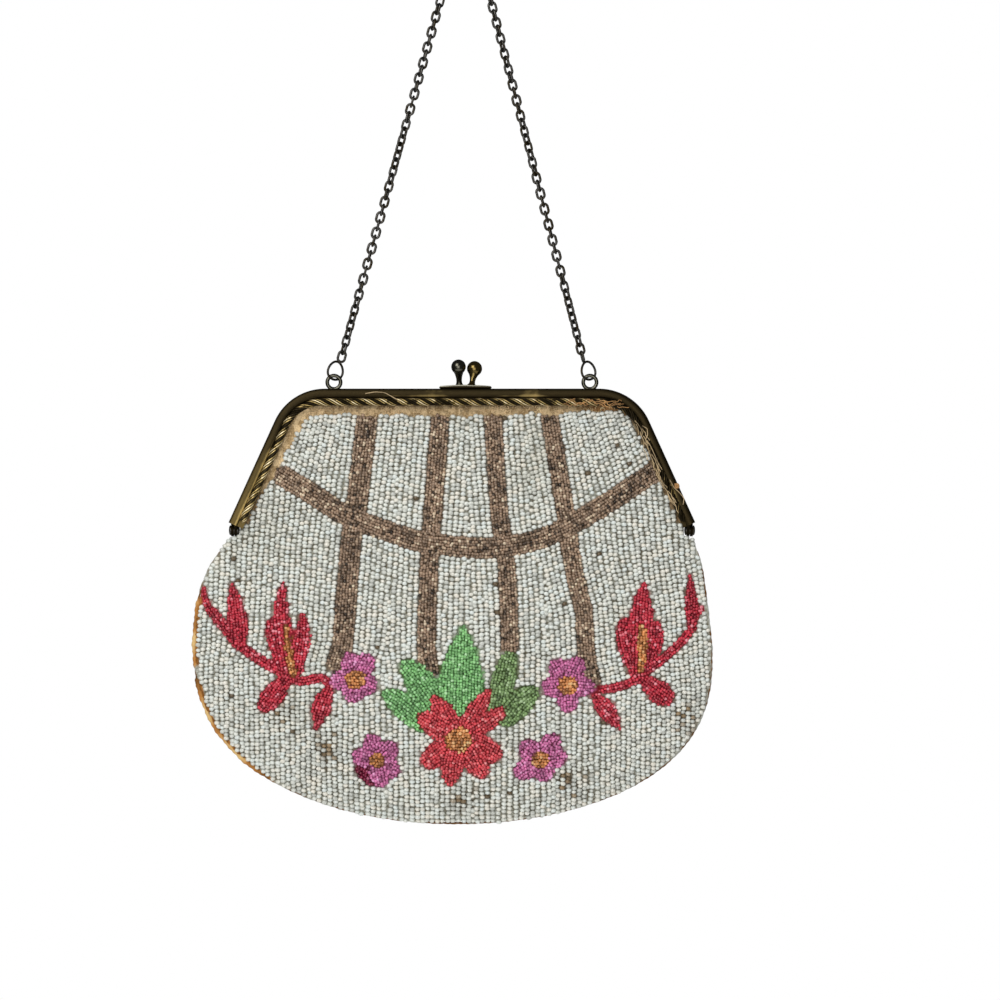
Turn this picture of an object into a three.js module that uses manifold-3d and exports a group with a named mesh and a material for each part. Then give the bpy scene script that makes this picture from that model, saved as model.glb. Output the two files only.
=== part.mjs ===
// A beaded evening handbag: a soft pouch of two beaded panels on a hinged brass frame,
// with a ball clasp, two eyelets and a chain handle.
// Millimetres, +Z up, front towards -Y. The origin is the top of the chain, where the bag hangs.
import * as THREE from "three";
import { mergeVertices } from "three/addons/utils/BufferGeometryUtils.js";
import Module from "manifold-3d";

const wasm = await Module();
wasm.setup();

// Driving dimensions, in millimetres. A drop is measured down from the frame's top edge, an
// inset from the frame's outer edge towards the pouch, a forward distance from the middle plane.
const GAP = 0.3; // between pieces that touch

const FRAME = {
  fromTop: 167.85, // the frame's top edge, below the chain's top
  offset: -1.5, // the frame's middle, right of the chain's top
  topHalf: 64.5, // half the top width, out to where the flank's line crosses it
  flankSlope: 0.455, // how fast a flank spreads as it drops
  cornerRadius: 20.6,
  cornerSteps: 6,
  railEnd: 50, // drop of the rails' ends, above the hinges
  rail: 3.5, // width of the smooth rail
  shoulder: 0.5, // the rail's front is rounded over this width
  flange: 5.8, // inset of the inner edge of the flange that carries the twisted edging
  web: 1.0, // thickness of the rail's outer wall
  back: 0.15, // forward distances: where each half stops
  flangeBack: 2.6,
  flangeFront: 3.4,
  shoulderFront: 4.25,
  railFront: 4.75,
};
const TWIST = { inset: 4.65, forward: 3.9, radius: 1.22, quarterTurn: 4.0, quarterSteps: 2 };
const HINGE = { drop: 53, inner: 84.2, ear: 1.0, earRadius: 2.3, tongue: 4.1, lap: 1.5 };
const RIVET = { pin: 0.9, head: 1.9, crown: 1.3, headDepth: 0.9, crownDepth: 0.7, sides: 14 };
const EYELET = { out: 47.9, forward: 2.3, rise: 2.4, radius: 2.5, wire: 0.72, sides: 8, round: 18 };
const END_RING = { halfWidth: 3.9, halfHeight: 3.4, wire: 0.45, turn: 48, lean: 10, sides: 6, round: 18 };
// The clasp's strips lie along the top; a stem and a ball stand on each.
const CLASP = { middle: 1.3, length: 19.6, thick: 1.5, depth: 3.4, forward: 0.45, stem: 0.9 };
const CLASP_FACETS = { stem: 10, ball: 16, ballRows: 10 };
// One knob on each half: where its foot and its ball stand, right of the frame's middle.
const KNOBS = [
  { name: "clasp_front", side: 1, foot: 3.6, ball: 4.7, rise: 7.6, radius: 2.85 },
  { name: "clasp_back", side: -1, foot: -1.0, ball: -1.3, rise: 8.3, radius: 2.75 },
];

const CLOTH = {
  wall: 2.0, // beads and ground cloth together
  top: 1.6, // inset of the sewn edge inside the frame's channel
  channelFront: 2.25, // forward face of the wall inside the channel
  rimFront: 1.05, // forward face of the wall at the open seam
  rimBack: 0.2, // back face of the wall at every edge
  hingeReach: 82.2, // the cloth stays inside the hinges
  columns: 16,
};
// The belly: how far its middle stands forward of the rim, the drop where it is fullest, and the
// drops between which the cloth comes free of the frame. The falls and powers shape its curves.
const SWELL = {
  depth: 11.0,
  fullDrop: 104,
  freeFrom: 48,
  freeTo: 68,
  upperFall: 1.4,
  lowerFall: 0.8,
  upperPower: 1.6,
  lowerPower: 2.2,
};
const IN_FRAME_DROPS = [1.6, 3.4, 6.5, 10.5, 16, 26, 36, 46, 55.4];
// The pouch's sides, from under the hinges towards its widest: reach left and right.
const SIDES = [
  { drop: 56.2, left: 87.8, right: 86.9 },
  { drop: 60, left: 90.2, right: 88.1 },
  { drop: 66, left: 94.2, right: 89.7 },
  { drop: 74, left: 97.6, right: 90.9 },
  { drop: 84, left: 99.7, right: 92.2 },
];
// The round lower part: an oval below the widest section, squarer downwards than a circle.
const LOBE = { drop: 96, depth: 66.8, left: 100.4, right: 93.5, power: 2.6, sway: 1.6 };
const LOBE_DEGREES = [0, 10, 20, 30, 40, 50, 60, 70, 79, 86];
const SEAM = { radius: 0.8, beyond: 0.25, steps: 64, sides: 6 };

// The chain: two straight strands from a bend over a small hook, as wide as its links.
const CHAIN = { width: 3.6, bend: 4.6, leftSpread: 0.2757, rightSpread: 0.257, end: 157.3 };
const CHAIN_TUBE = { sides: 8, steps: 60 };

// Materials
const finish = (color, roughness, metalness) =>
  new THREE.MeshStandardMaterial({ color, roughness, metalness });
const BRASS = finish(0x7d6832, 0.35, 1);
const DARK_METAL = finish(0x34322e, 0.4, 1);
const BEADED_CLOTH = finish(0xd9dad2, 0.45, 0);
const RUST_THREAD = finish(0xa86f35, 0.9, 0);

// Solids
function closedGeometry(positions, triangles) {
  const geometry = new THREE.BufferGeometry();
  geometry.setAttribute("position", new THREE.Float32BufferAttribute(positions, 3));
  geometry.setIndex(triangles);
  return geometry;
}

function solidOf(geometry) {
  const bare = geometry.clone();
  bare.deleteAttribute("normal");
  bare.deleteAttribute("uv");
  const merged = mergeVertices(bare, 1e-4);
  return new wasm.Manifold(
    new wasm.Mesh({
      numProp: 3,
      vertProperties: merged.attributes.position.array,
      triVerts: new Uint32Array(merged.index.array),
    }),
  );
}

function geometryOf(solid) {
  const { vertProperties, triVerts } = solid.getMesh();
  return closedGeometry(Array.from(vertProperties), Array.from(triVerts));
}

// A solid through rings of equal length, with flat ends.
function loft(rings) {
  const count = rings[0].length;
  const last = (rings.length - 1) * count;
  const triangles = [];
  for (let r = 0; r < last; r += count)
    for (let i = 0; i < count; i++) {
      const [a, b] = [r + i, r + ((i + 1) % count)];
      triangles.push(a, b, b + count, a, b + count, a + count);
    }
  const [origin, second] = rings[0];
  const across = second.clone().sub(origin).normalize();
  const axis = new THREE.Vector3();
  rings[0].forEach((p, i) => axis.add(p.clone().cross(rings[0][(i + 1) % count])));
  const up = axis.normalize().cross(across);
  const flat = rings[0].map((p) => p.clone().sub(origin));
  const outline = flat.map((p) => new THREE.Vector2(p.dot(across), p.dot(up)));
  for (const [a, b, c] of THREE.ShapeUtils.triangulateShape(outline, []))
    triangles.push(a, c, b, last + a, last + b, last + c);
  return closedGeometry(rings.flat().flatMap((p) => p.toArray()), triangles);
}

// A round tube along a curve.
function tube(curve, radius, sides, steps) {
  const circle = Array.from({ length: sides }, (_, i) => {
    const angle = (2 * Math.PI * i) / sides;
    return new THREE.Vector2(radius * Math.cos(angle), radius * Math.sin(angle));
  });
  return new THREE.ExtrudeGeometry(new THREE.Shape(circle), { steps, extrudePath: curve });
}

// A cylinder between two points.
function rod(from, to, radius, sides) {
  const along = to.clone().sub(from);
  const cylinder = new THREE.CylinderGeometry(radius, radius, along.length(), sides);
  const turn = new THREE.Quaternion().setFromUnitVectors(new THREE.Vector3(0, 1, 0), along.normalize());
  cylinder.applyQuaternion(turn);
  return cylinder.translate(...from.clone().add(to).multiplyScalar(0.5).toArray());
}

// The frame's line in the XZ plane
const LEAN = Math.atan(FRAME.flankSlope);
const CORNER_TURN = Math.PI / 2 - LEAN;
const CORNER_OUT =
  FRAME.topHalf + FRAME.flankSlope * FRAME.cornerRadius - FRAME.cornerRadius / Math.cos(LEAN);

// Half the width at a drop, along the curve that lies at an inset.
function frameHalf(drop, inset) {
  const radius = FRAME.cornerRadius - inset;
  const above = FRAME.cornerRadius - drop;
  if (above > radius * Math.sin(LEAN))
    return CORNER_OUT + Math.sqrt(Math.max(0, radius ** 2 - above ** 2));
  return FRAME.topHalf + FRAME.flankSlope * drop - inset / Math.cos(LEAN);
}

// A place on the curve at an inset and its outward direction there. The length runs from the
// middle of the top, and is negative on the left half.
function station(length, inset) {
  const radius = FRAME.cornerRadius - inset;
  const past = Math.abs(length) - CORNER_OUT;
  const turn = THREE.MathUtils.clamp(past / radius, 0, CORNER_TURN);
  const outward = new THREE.Vector3(Math.sin(turn), 0, Math.cos(turn));
  const along = new THREE.Vector3(outward.z, 0, -outward.x);
  const place = new THREE.Vector3(CORNER_OUT, 0, -FRAME.cornerRadius);
  place.addScaledVector(outward, radius).addScaledVector(along, past - turn * radius);
  const hand = new THREE.Vector3(length < 0 ? -1 : 1, 1, 1);
  return { place: place.multiply(hand), outward: outward.multiply(hand) };
}

// Length of one half of the curve at an inset, down to the rails' ends.
function halfLength(inset) {
  const radius = FRAME.cornerRadius - inset;
  const flankTop = FRAME.cornerRadius - radius * Math.sin(LEAN);
  return CORNER_OUT + radius * CORNER_TURN + (FRAME.railEnd - flankTop) / Math.cos(LEAN);
}

// A ring of section points, given as inset and forward; side is 1 in front and -1 at the back.
function sectionRing({ place, outward }, section, side) {
  const ring = section.map(([inset, forward]) =>
    place.clone().addScaledVector(outward, -inset).setY(-side * forward),
  );
  return side > 0 ? ring : ring.reverse();
}

// The folded rail with its sewing flange: a channel that is open towards the middle plane.
function rail(side) {
  const section = [
    [0, FRAME.back],
    [0, FRAME.flangeFront],
    [FRAME.shoulder, FRAME.shoulderFront],
    [FRAME.rail / 2, FRAME.railFront],
    [FRAME.rail - FRAME.shoulder, FRAME.shoulderFront],
    [FRAME.rail, FRAME.flangeFront],
    [FRAME.flange, FRAME.flangeFront],
    [FRAME.flange, FRAME.flangeBack],
    [FRAME.web, FRAME.flangeBack],
    [FRAME.web, FRAME.back],
  ];
  const arc = FRAME.cornerRadius * CORNER_TURN;
  const half = Array.from(
    { length: FRAME.cornerSteps + 1 },
    (_, i) => CORNER_OUT + (arc * i) / FRAME.cornerSteps,
  );
  half.push(halfLength(0));
  const lengths = [...half.map((length) => -length).reverse(), ...half];
  return loft(lengths.map((length) => sectionRing(station(length, 0), section, side)));
}

// A square bar twisted along the flange, which makes a rope edging.
function twistedEdging(side) {
  const end = halfLength(TWIST.inset) - TWIST.radius;
  const count = Math.round((2 * end * TWIST.quarterSteps) / TWIST.quarterTurn);
  const rings = Array.from({ length: count + 1 }, (_, i) => {
    const section = [0, 1, 2, 3].map((corner) => {
      const angle = (Math.PI / 2) * (i / TWIST.quarterSteps + corner);
      return [TWIST.radius * Math.cos(angle), TWIST.forward + TWIST.radius * Math.sin(angle)];
    });
    return sectionRing(station(end * ((2 * i) / count - 1), TWIST.inset), section, side).reverse();
  });
  return loft(rings);
}

const hingeMiddle = HINGE.inner + HINGE.ear + GAP / 2;

// A hinge ear: a plate across the hinge's axis, lapped into the end of a rail.
function hingeEar(side, hand) {
  const middle = hand * (HINGE.inner + HINGE.ear / 2 + (side > 0 ? 0 : HINGE.ear + GAP));
  const height = HINGE.drop - FRAME.railEnd + HINGE.lap;
  const tongue = new THREE.BoxGeometry(HINGE.ear, HINGE.tongue - FRAME.back, height);
  tongue.translate(middle, (-side * (HINGE.tongue + FRAME.back)) / 2, height / 2 - HINGE.drop);
  const disc = new THREE.CylinderGeometry(HINGE.earRadius, HINGE.earRadius, HINGE.ear, RIVET.sides);
  disc.rotateZ(Math.PI / 2).translate(middle, 0, -HINGE.drop);
  return solidOf(tongue).add(solidOf(disc));
}

// The hole of both ears at one hinge.
function hingeHole(hand) {
  const radius = RIVET.pin + GAP;
  const hole = new THREE.CylinderGeometry(radius, radius, 3 * HINGE.ear + 2 * GAP, RIVET.sides);
  return solidOf(hole.rotateZ(Math.PI / 2).translate(hand * hingeMiddle, 0, -HINGE.drop));
}

function frameHalfSolid(side) {
  let solid = solidOf(rail(side)).add(solidOf(twistedEdging(side)));
  for (const hand of [-1, 1]) solid = solid.add(hingeEar(side, hand)).subtract(hingeHole(hand));
  return solid;
}

// A ring eyelet that stands on the front rail, face to the front.
function eyelet(hand) {
  const ring = new THREE.TorusGeometry(EYELET.radius, EYELET.wire, EYELET.sides, EYELET.round);
  return ring.rotateX(Math.PI / 2).translate(hand * EYELET.out, -EYELET.forward, EYELET.rise);
}

// A rivet with two rounded heads, turned about the hinge's axis.
function rivet(hand) {
  const half = HINGE.ear + GAP / 2 + GAP;
  const profile = [
    [0, -half - RIVET.headDepth],
    [RIVET.crown, -half - RIVET.crownDepth],
    [RIVET.head, -half],
    [RIVET.pin, -half],
    [RIVET.pin, half],
    [RIVET.head, half],
    [RIVET.crown, half + RIVET.crownDepth],
    [0, half + RIVET.headDepth],
  ].map(([radius, along]) => new THREE.Vector2(radius, along));
  const turned = new THREE.LatheGeometry(profile, RIVET.sides);
  return turned.rotateZ(Math.PI / 2).translate(hand * hingeMiddle, 0, -HINGE.drop);
}

// An oval ring hooked through an eyelet, turned and leaning towards the chain.
function endRing(hand) {
  const ring = new THREE.TorusGeometry(END_RING.halfWidth, END_RING.wire, END_RING.sides, END_RING.round);
  ring.scale(1, END_RING.halfHeight / END_RING.halfWidth, 1).rotateX(Math.PI / 2);
  ring.translate(0, 0, END_RING.halfHeight);
  ring.rotateZ(THREE.MathUtils.degToRad(END_RING.turn));
  ring.rotateY(THREE.MathUtils.degToRad(-hand * END_RING.lean));
  const hook = EYELET.rise + EYELET.radius - EYELET.wire - END_RING.wire - GAP;
  return ring.translate(hand * EYELET.out, -EYELET.forward, hook);
}

// A clasp knob: a strip along the top of one half, a stem that leans to the middle, and a ball.
function knob({ side, foot, ball, rise, radius }) {
  const { middle, length, thick, depth, forward, stem } = CLASP;
  const strip = new THREE.BoxGeometry(length, depth, thick);
  strip.translate(middle, -side * (forward + depth / 2), GAP + thick / 2);
  const from = new THREE.Vector3(foot, -side * (forward + depth / 2), GAP + thick / 2);
  const centre = new THREE.Vector3(ball, 0, rise);
  const sphere = new THREE.SphereGeometry(radius, CLASP_FACETS.ball, CLASP_FACETS.ballRows);
  sphere.translate(...centre.toArray());
  const solids = [strip, rod(from, centre, stem, CLASP_FACETS.stem), sphere].map(solidOf);
  return geometryOf(solids.reduce((a, b) => a.add(b)));
}

// The pouch's outline, for a wall face that lies an inset inside the outer one: rows from the top
// down, each with its drop and its reach left and right.
function clothRows(inset) {
  const inFrame = IN_FRAME_DROPS.map((drop) => {
    const reach = Math.min(frameHalf(drop, CLOTH.top), CLOTH.hingeReach);
    return { drop, left: reach, right: reach };
  });
  const sides = SIDES.map(({ drop, left, right }) => ({ drop, left: left - inset, right: right - inset }));
  const half = (LOBE.left + LOBE.right) / 2 - inset;
  const lobe = LOBE_DEGREES.map(THREE.MathUtils.degToRad).map((angle) => {
    const middle = (LOBE.right - LOBE.left) / 2 + LOBE.sway * Math.sin(2 * angle);
    const drop = LOBE.drop + (LOBE.depth - inset) * Math.sin(angle) ** (2 / LOBE.power);
    return { drop, left: half * Math.cos(angle) - middle, right: half * Math.cos(angle) + middle };
  });
  return [...inFrame, ...sides, ...lobe];
}

// How far forward the outer face stands: level where the frame covers it, then swelling to a full
// belly that falls off to the seams at across = -1 and 1, and to the bottom.
function clothForward(across, drop, bottom) {
  const { smoothstep, lerp } = THREE.MathUtils;
  const free = smoothstep(drop, SWELL.freeFrom, SWELL.freeTo);
  const rim = lerp(CLOTH.channelFront, CLOTH.rimFront, free);
  const covered = frameHalf(drop, FRAME.flange + GAP) / frameHalf(drop, CLOTH.top);
  const inside = Math.min(1, Math.abs(across) / lerp(covered, 1, free));
  const fall = lerp(SWELL.upperFall, SWELL.lowerFall, smoothstep(drop, 0, SWELL.fullDrop));
  const rise = Math.min(1, (drop - CLOTH.top) / (SWELL.fullDrop - CLOTH.top));
  const upper = Math.sin((Math.PI / 2) * rise) ** SWELL.upperPower;
  const past = Math.max(0, (drop - SWELL.fullDrop) / (bottom - SWELL.fullDrop));
  const lower = Math.max(0, 1 - past ** SWELL.lowerPower) ** SWELL.lowerFall;
  return rim + SWELL.depth * upper * lower * (1 - inside ** 2) ** fall;
}

// One panel: an outer and an inner face joined round the edges.
function panel(side) {
  const columns = CLOTH.columns;
  const face = (inset) => {
    const bottom = LOBE.drop + LOBE.depth - inset;
    return clothRows(inset).map(({ drop, left, right }) =>
      Array.from({ length: columns + 1 }, (_, i) => {
        const across = Math.sin((Math.PI / 2) * ((2 * i) / columns - 1));
        const x = (right - left) / 2 + (across * (left + right)) / 2;
        const outer = clothForward(across, drop, bottom);
        const forward = inset > 0 ? Math.max(CLOTH.rimBack, outer - CLOTH.wall) : outer;
        return new THREE.Vector3(x, -side * forward, -drop);
      }),
    );
  };
  const [outer, inner] = [face(0), face(CLOTH.wall)];
  const rings = outer.map((row, i) => {
    const ring = [...row, ...inner[i].reverse()];
    return side > 0 ? ring.reverse() : ring;
  });
  return loft(rings);
}

// The seam's line: round the pouch from under the left hinge to under the right one.
function seam() {
  const rows = clothRows(0).slice(IN_FRAME_DROPS.length);
  const left = rows.map(({ drop, left: reach }) => new THREE.Vector3(-reach, 0, -drop));
  const right = rows.map(({ drop, right: reach }) => new THREE.Vector3(reach, 0, -drop));
  const line = [...left, ...right.reverse()];
  const outside = line.map((point, i) => {
    const ahead = line[Math.min(i + 1, line.length - 1)];
    const behind = line[Math.max(i - 1, 0)];
    const along = ahead.clone().sub(behind).normalize();
    return point.clone().add(new THREE.Vector3(along.z, 0, -along.x).multiplyScalar(SEAM.beyond));
  });
  return tube(new THREE.CatmullRomCurve3(outside), SEAM.radius, SEAM.sides, SEAM.steps);
}

// The chain's centre line: up the left strand, round the bend and down the right strand.
class ChainLine extends THREE.Curve {
  constructor() {
    super();
    this.left = Math.atan(CHAIN.leftSpread);
    this.right = Math.atan(CHAIN.rightSpread);
    this.arc = CHAIN.bend * (Math.PI - this.left - this.right);
    this.strands = [this.left, this.right].map(
      (lean) => (CHAIN.end - CHAIN.bend * (1 - Math.sin(lean))) / Math.cos(lean),
    );
  }
  getPoint(t, target = new THREE.Vector3()) {
    const length = t * (this.strands[0] + this.arc + this.strands[1]) - this.strands[0];
    const onArc = THREE.MathUtils.clamp(length, 0, this.arc);
    const angle = Math.PI - this.left - onArc / CHAIN.bend;
    const beyond = length - onArc;
    const x = CHAIN.bend * Math.cos(angle) + beyond * Math.sin(angle);
    const z = CHAIN.bend * (Math.sin(angle) - 1) - beyond * Math.cos(angle);
    return target.set(x, (EYELET.forward * z) / CHAIN.end, z);
  }
}

// Assembly
const handbag = new THREE.Group();
const pouchAndFrame = new THREE.Group();
pouchAndFrame.position.set(FRAME.offset, 0, -FRAME.fromTop);
handbag.add(pouchAndFrame);

function piece(parent, name, geometry, material) {
  const mesh = new THREE.Mesh(geometry, material);
  mesh.name = name;
  parent.add(mesh);
}

const eyelets = solidOf(eyelet(-1)).add(solidOf(eyelet(1)));
piece(pouchAndFrame, "frame_front", geometryOf(frameHalfSolid(1).add(eyelets)), BRASS);
piece(pouchAndFrame, "frame_back", geometryOf(frameHalfSolid(-1)), BRASS);
for (const spec of KNOBS) piece(pouchAndFrame, spec.name, knob(spec), BRASS);
for (const [word, hand] of [["left", -1], ["right", 1]]) {
  piece(pouchAndFrame, `hinge_rivet_${word}`, rivet(hand), DARK_METAL);
  piece(pouchAndFrame, `end_ring_${word}`, endRing(hand), DARK_METAL);
}
piece(pouchAndFrame, "bag_front", panel(1), BEADED_CLOTH);
piece(pouchAndFrame, "bag_back", panel(-1), BEADED_CLOTH);
piece(pouchAndFrame, "side_seam", seam(), RUST_THREAD);
const chain = tube(new ChainLine(), CHAIN.width / 2, CHAIN_TUBE.sides, CHAIN_TUBE.steps);
piece(handbag, "chain", chain, DARK_METAL);

export default handbag;
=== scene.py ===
"""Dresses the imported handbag: beadwork, ground cloth, rope-edged frame, clasp and chain, in millimetres."""

import math
from collections import namedtuple

import bpy
import numpy as np
from bpy.props import FloatProperty, FloatVectorProperty, PointerProperty
from bpy.types import Operator, Panel, PropertyGroup
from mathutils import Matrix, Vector


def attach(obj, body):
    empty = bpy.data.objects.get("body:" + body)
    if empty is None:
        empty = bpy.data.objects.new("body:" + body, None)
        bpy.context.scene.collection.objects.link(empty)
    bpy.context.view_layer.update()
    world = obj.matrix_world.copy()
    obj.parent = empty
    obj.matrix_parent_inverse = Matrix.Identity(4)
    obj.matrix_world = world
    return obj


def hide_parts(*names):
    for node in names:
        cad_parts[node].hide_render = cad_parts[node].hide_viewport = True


bl_info = {
    "name": "Beaded handbag",
    "version": (1, 0, 0),
    "blender": (4, 5, 0),
    "location": "3D View > Sidebar > Handbag",
    "description": "Makes a hanging beaded handbag with a hinged brass frame and a chain handle",
    "category": "Object",
}

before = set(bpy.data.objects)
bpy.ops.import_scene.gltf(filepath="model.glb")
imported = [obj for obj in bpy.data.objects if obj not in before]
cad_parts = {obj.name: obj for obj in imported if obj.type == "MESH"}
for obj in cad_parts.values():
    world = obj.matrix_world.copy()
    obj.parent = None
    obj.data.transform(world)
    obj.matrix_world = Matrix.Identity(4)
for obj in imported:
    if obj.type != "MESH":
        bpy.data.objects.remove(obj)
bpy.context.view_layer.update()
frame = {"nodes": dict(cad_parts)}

METRES = 0.001
SEED = 1912
FACES = (("front", 1), ("back", -1))
HANDS = (("left", -1), ("right", 1))

# In millimetres: the gap between pieces that touch, and how far before the middle plane the chain ends
GAP = 0.3
CHAIN_FORWARD = 2.3


# Values that a user would change

def to_linear(display):
    """A display colour from 0 to 255 as linear light, by the usual sRGB curve."""
    share = np.asarray(display, float) / 255
    return tuple(np.where(share <= 0.04045, share / 12.92, ((share + 0.055) / 1.055) ** 2.4).tolist())


def length(label, description, millimetres):
    return FloatProperty(name=label, description=description, default=millimetres * METRES, unit="LENGTH",
                         precision=5)


def share(label, description, value):
    return FloatProperty(name=label, description=description, default=value, precision=3)


def colour(label, description, display):
    return FloatVectorProperty(name=label, description=description, subtype="COLOR", size=3, min=0, max=1,
                               default=to_linear(display))


class FrameSizes(PropertyGroup):
    """Sizes of the hinged frame, its edging and its rings."""
    hang: length("Hang", "Depth of the frame's top edge below the hanging point", 167.85)
    offset: length("Offset", "Frame's middle, to the right of the hanging point", -1.5)
    top_half: length("Top half", "Half the width where the top edge and flank lines meet", 64.5)
    flank_slope: share("Flank slope", "Run out for each unit of drop along a flank", 0.455)
    corner: length("Corner", "Outer radius of the corners", 20.6)
    rail_end: length("Rail end", "Drop of the rail's lower ends", 50)
    rail: length("Rail", "Height of the smooth rail", 3.5)
    flange: length("Flange", "Height of the rail and the flange under the edging", 5.8)
    back: length("Back", "Gap from the middle plane to the rail", 0.02)
    front: length("Front", "Depth of the rail's crown before the middle plane", 4.75)
    rope_inset: length("Rope inset", "Rope's middle below the rail's outer edge", 4.5)
    rope_forward: length("Rope forward", "Rope's middle before the middle plane", 3.9)
    rope_radius: length("Rope radius", "Outer radius of the twisted edging", 1.4)
    rope_lead: length("Rope lead", "Length of one full turn of the edging", 12.6)
    hinge_drop: length("Hinge drop", "Drop of the hinge's axis", 53)
    hinge_inner: length("Hinge inner", "Inner face of the front ear, out from the middle", 84.2)
    ear: length("Ear", "Thickness of a hinge ear", 1.0)
    ear_radius: length("Ear radius", "Radius of an ear's round end", 2.3)
    eyelet_out: length("Eyelet out", "Eyelet's middle, out from the frame's middle", 47.9)
    eyelet_rise: length("Eyelet rise", "Eyelet's middle above the frame's top edge", 2.4)
    eyelet_radius: length("Eyelet radius", "Radius of the eyelet's middle line", 2.5)
    eyelet_wire: length("Eyelet wire", "Half the thickness of the eyelet's wire", 0.72)
    ring_high: length("Ring high", "Half the height of an end ring's middle line", 3.4)
    ring_wide: length("Ring wide", "Half the width of an end ring's middle line", 3.9)
    ring_wire: length("Ring wire", "Half the thickness of an end ring's wire", 0.45)


class PouchSizes(PropertyGroup):
    """Sizes of the pouch's panels."""
    swell: length("Swell", "How far each panel swells before its rim", 11)
    full_drop: length("Full drop", "Drop of the fullest place", 104)
    lobe_drop: length("Lobe drop", "Drop where the round bottom starts", 96)
    lobe_depth: length("Lobe depth", "Depth of the round bottom", 66.8)
    lobe_left: length("Lobe left", "Reach to the left where the round bottom starts", 100.4)
    lobe_right: length("Lobe right", "Reach to the right where the round bottom starts", 93.5)
    cloth: length("Cloth", "Thickness of the ground cloth", 0.5)
    cloth_under: length("Cloth under", "Ground cloth's depth under the beads' tops", 1.25)
    seam: length("Seam", "Half the thickness of the seam's edge", 0.8)


class BeadSizes(PropertyGroup):
    """Sizes of the beads and how far apart they are strung."""
    white_radius: length("White radius", "Radius of a white bead", 1.05)
    white_length: length("White length", "Length of a white bead along its thread", 1.5)
    column: length("Column", "Distance between columns of white beads", 2.03)
    row: length("Row", "Distance between white beads on their thread", 1.5)
    cut_radius: length("Cut radius", "Radius of a coloured bead", 0.65)
    cut_length: length("Cut length", "Length of a coloured bead along its thread", 1.05)
    line: length("Line", "Distance between lines of coloured beads", 1.12)
    step: length("Step", "Distance between coloured beads on their thread", 1.04)
    sunk: length("Sunk", "Depth of a bead's middle under the panel's outer face", 0.55)


class ChainSizes(PropertyGroup):
    """Sizes of the chain."""
    left_slope: share("Left slope", "Run out for each unit of drop on the left", 0.2757)
    right_slope: share("Right slope", "Run out for each unit of drop on the right", 0.257)
    bend: length("Bend", "Radius of the bend at the hanging point", 4.6)
    end: length("End", "Drop of the chain's ends", 157.3)
    link_length: length("Link length", "Outer length of a link", 5.0)
    link_width: length("Link width", "Outer width of a link", 3.75)
    wire: length("Wire", "Thickness of a link's wire", 1.0)


class Finishes(PropertyGroup):
    """Colours of the beads, cloth and metal."""
    white: colour("White", "White beads", (217, 218, 209))
    white_dull: colour("White, dull", "Dull white beads", (176, 172, 152))
    stain: colour("Stain", "Stained white beads", (150, 128, 98))
    brown: colour("Brown", "Beads of the trellis", (157, 132, 110))
    red: colour("Red", "Beads of the red flower", (212, 74, 82))
    crimson: colour("Crimson", "Beads of the red sprigs", (196, 56, 72))
    pink: colour("Pink", "Beads of the pink flowers", (206, 116, 163))
    maroon: colour("Maroon", "Darker beads in one flower", (128, 30, 62))
    green: colour("Green", "Beads of the middle and left leaves", (132, 188, 120))
    moss: colour("Moss", "Beads of the right leaves", (129, 157, 102))
    amber: colour("Amber", "Beads of the flower hearts", (210, 140, 84))
    cloth: colour("Cloth", "Ground cloth", (222, 194, 150))
    shadow: colour("Shadow", "Ground cloth between the white beads", (188, 188, 176))
    thread: colour("Thread", "Seam's edge", (182, 124, 62))
    brass: colour("Brass", "Rubbed brass", (208, 178, 108))
    tarnish: colour("Tarnish", "Dark tarnish on the brass", (58, 49, 31))
    steel: colour("Steel", "Blackened steel", (84, 82, 78))


class HandbagSettings(PropertyGroup):
    """All the sizes and finishes of the handbag."""
    frame: PointerProperty(type=FrameSizes)
    pouch: PointerProperty(type=PouchSizes)
    beads: PointerProperty(type=BeadSizes)
    chain: PointerProperty(type=ChainSizes)
    finishes: PointerProperty(type=Finishes)


def settings():
    return bpy.context.scene.handbag


def mm(value):
    """A length in metres as millimetres."""
    return value / METRES


# Meshes

Part = namedtuple("Part", "points faces")


def points_of(x, y, z):
    """Points from three arrays of coordinates, spread to one shape."""
    return np.stack(np.broadcast_arrays(x, y, z), axis=-1)


def full_turn(count):
    """Angles evenly round a circle."""
    return np.linspace(0, 2 * np.pi, count, endpoint=False)


def run_of(points):
    """Distance along a line of points, up to each one."""
    return np.concatenate([[0], np.cumsum(np.linalg.norm(np.diff(points, axis=0), axis=1))])


def at_run(points, run, at):
    """Places on a line of points at some distances along it."""
    return np.stack([np.interp(at, run, column) for column in points.T], axis=1)


def outward(part):
    """A closed part with its faces turned outwards, so that the signed volume under them is positive."""
    volume = 0.0
    for corners in part.faces:
        first = part.points[corners[:, 0]]
        for k in range(1, corners.shape[1] - 1):
            turn = np.cross(part.points[corners[:, k]], part.points[corners[:, k + 1]])
            volume += np.einsum("ij,ij", first, turn)
    if volume >= 0:
        return part
    return Part(part.points, [corners[:, ::-1] for corners in part.faces])


def grid_faces(rows, columns, wrap_rows=False, wrap_columns=False):
    """Four-cornered faces between the neighbours of a grid of points, closed round where asked."""
    i = np.arange(rows if wrap_rows else rows - 1)
    j = np.arange(columns if wrap_columns else columns - 1)
    i, j = np.meshgrid(i, j, indexing="ij")
    below = (i + 1) % rows
    beside = (j + 1) % columns
    corners = [i * columns + j, below * columns + j, below * columns + beside, i * columns + beside]
    return np.stack(corners, axis=-1).reshape(-1, 4)


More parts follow.
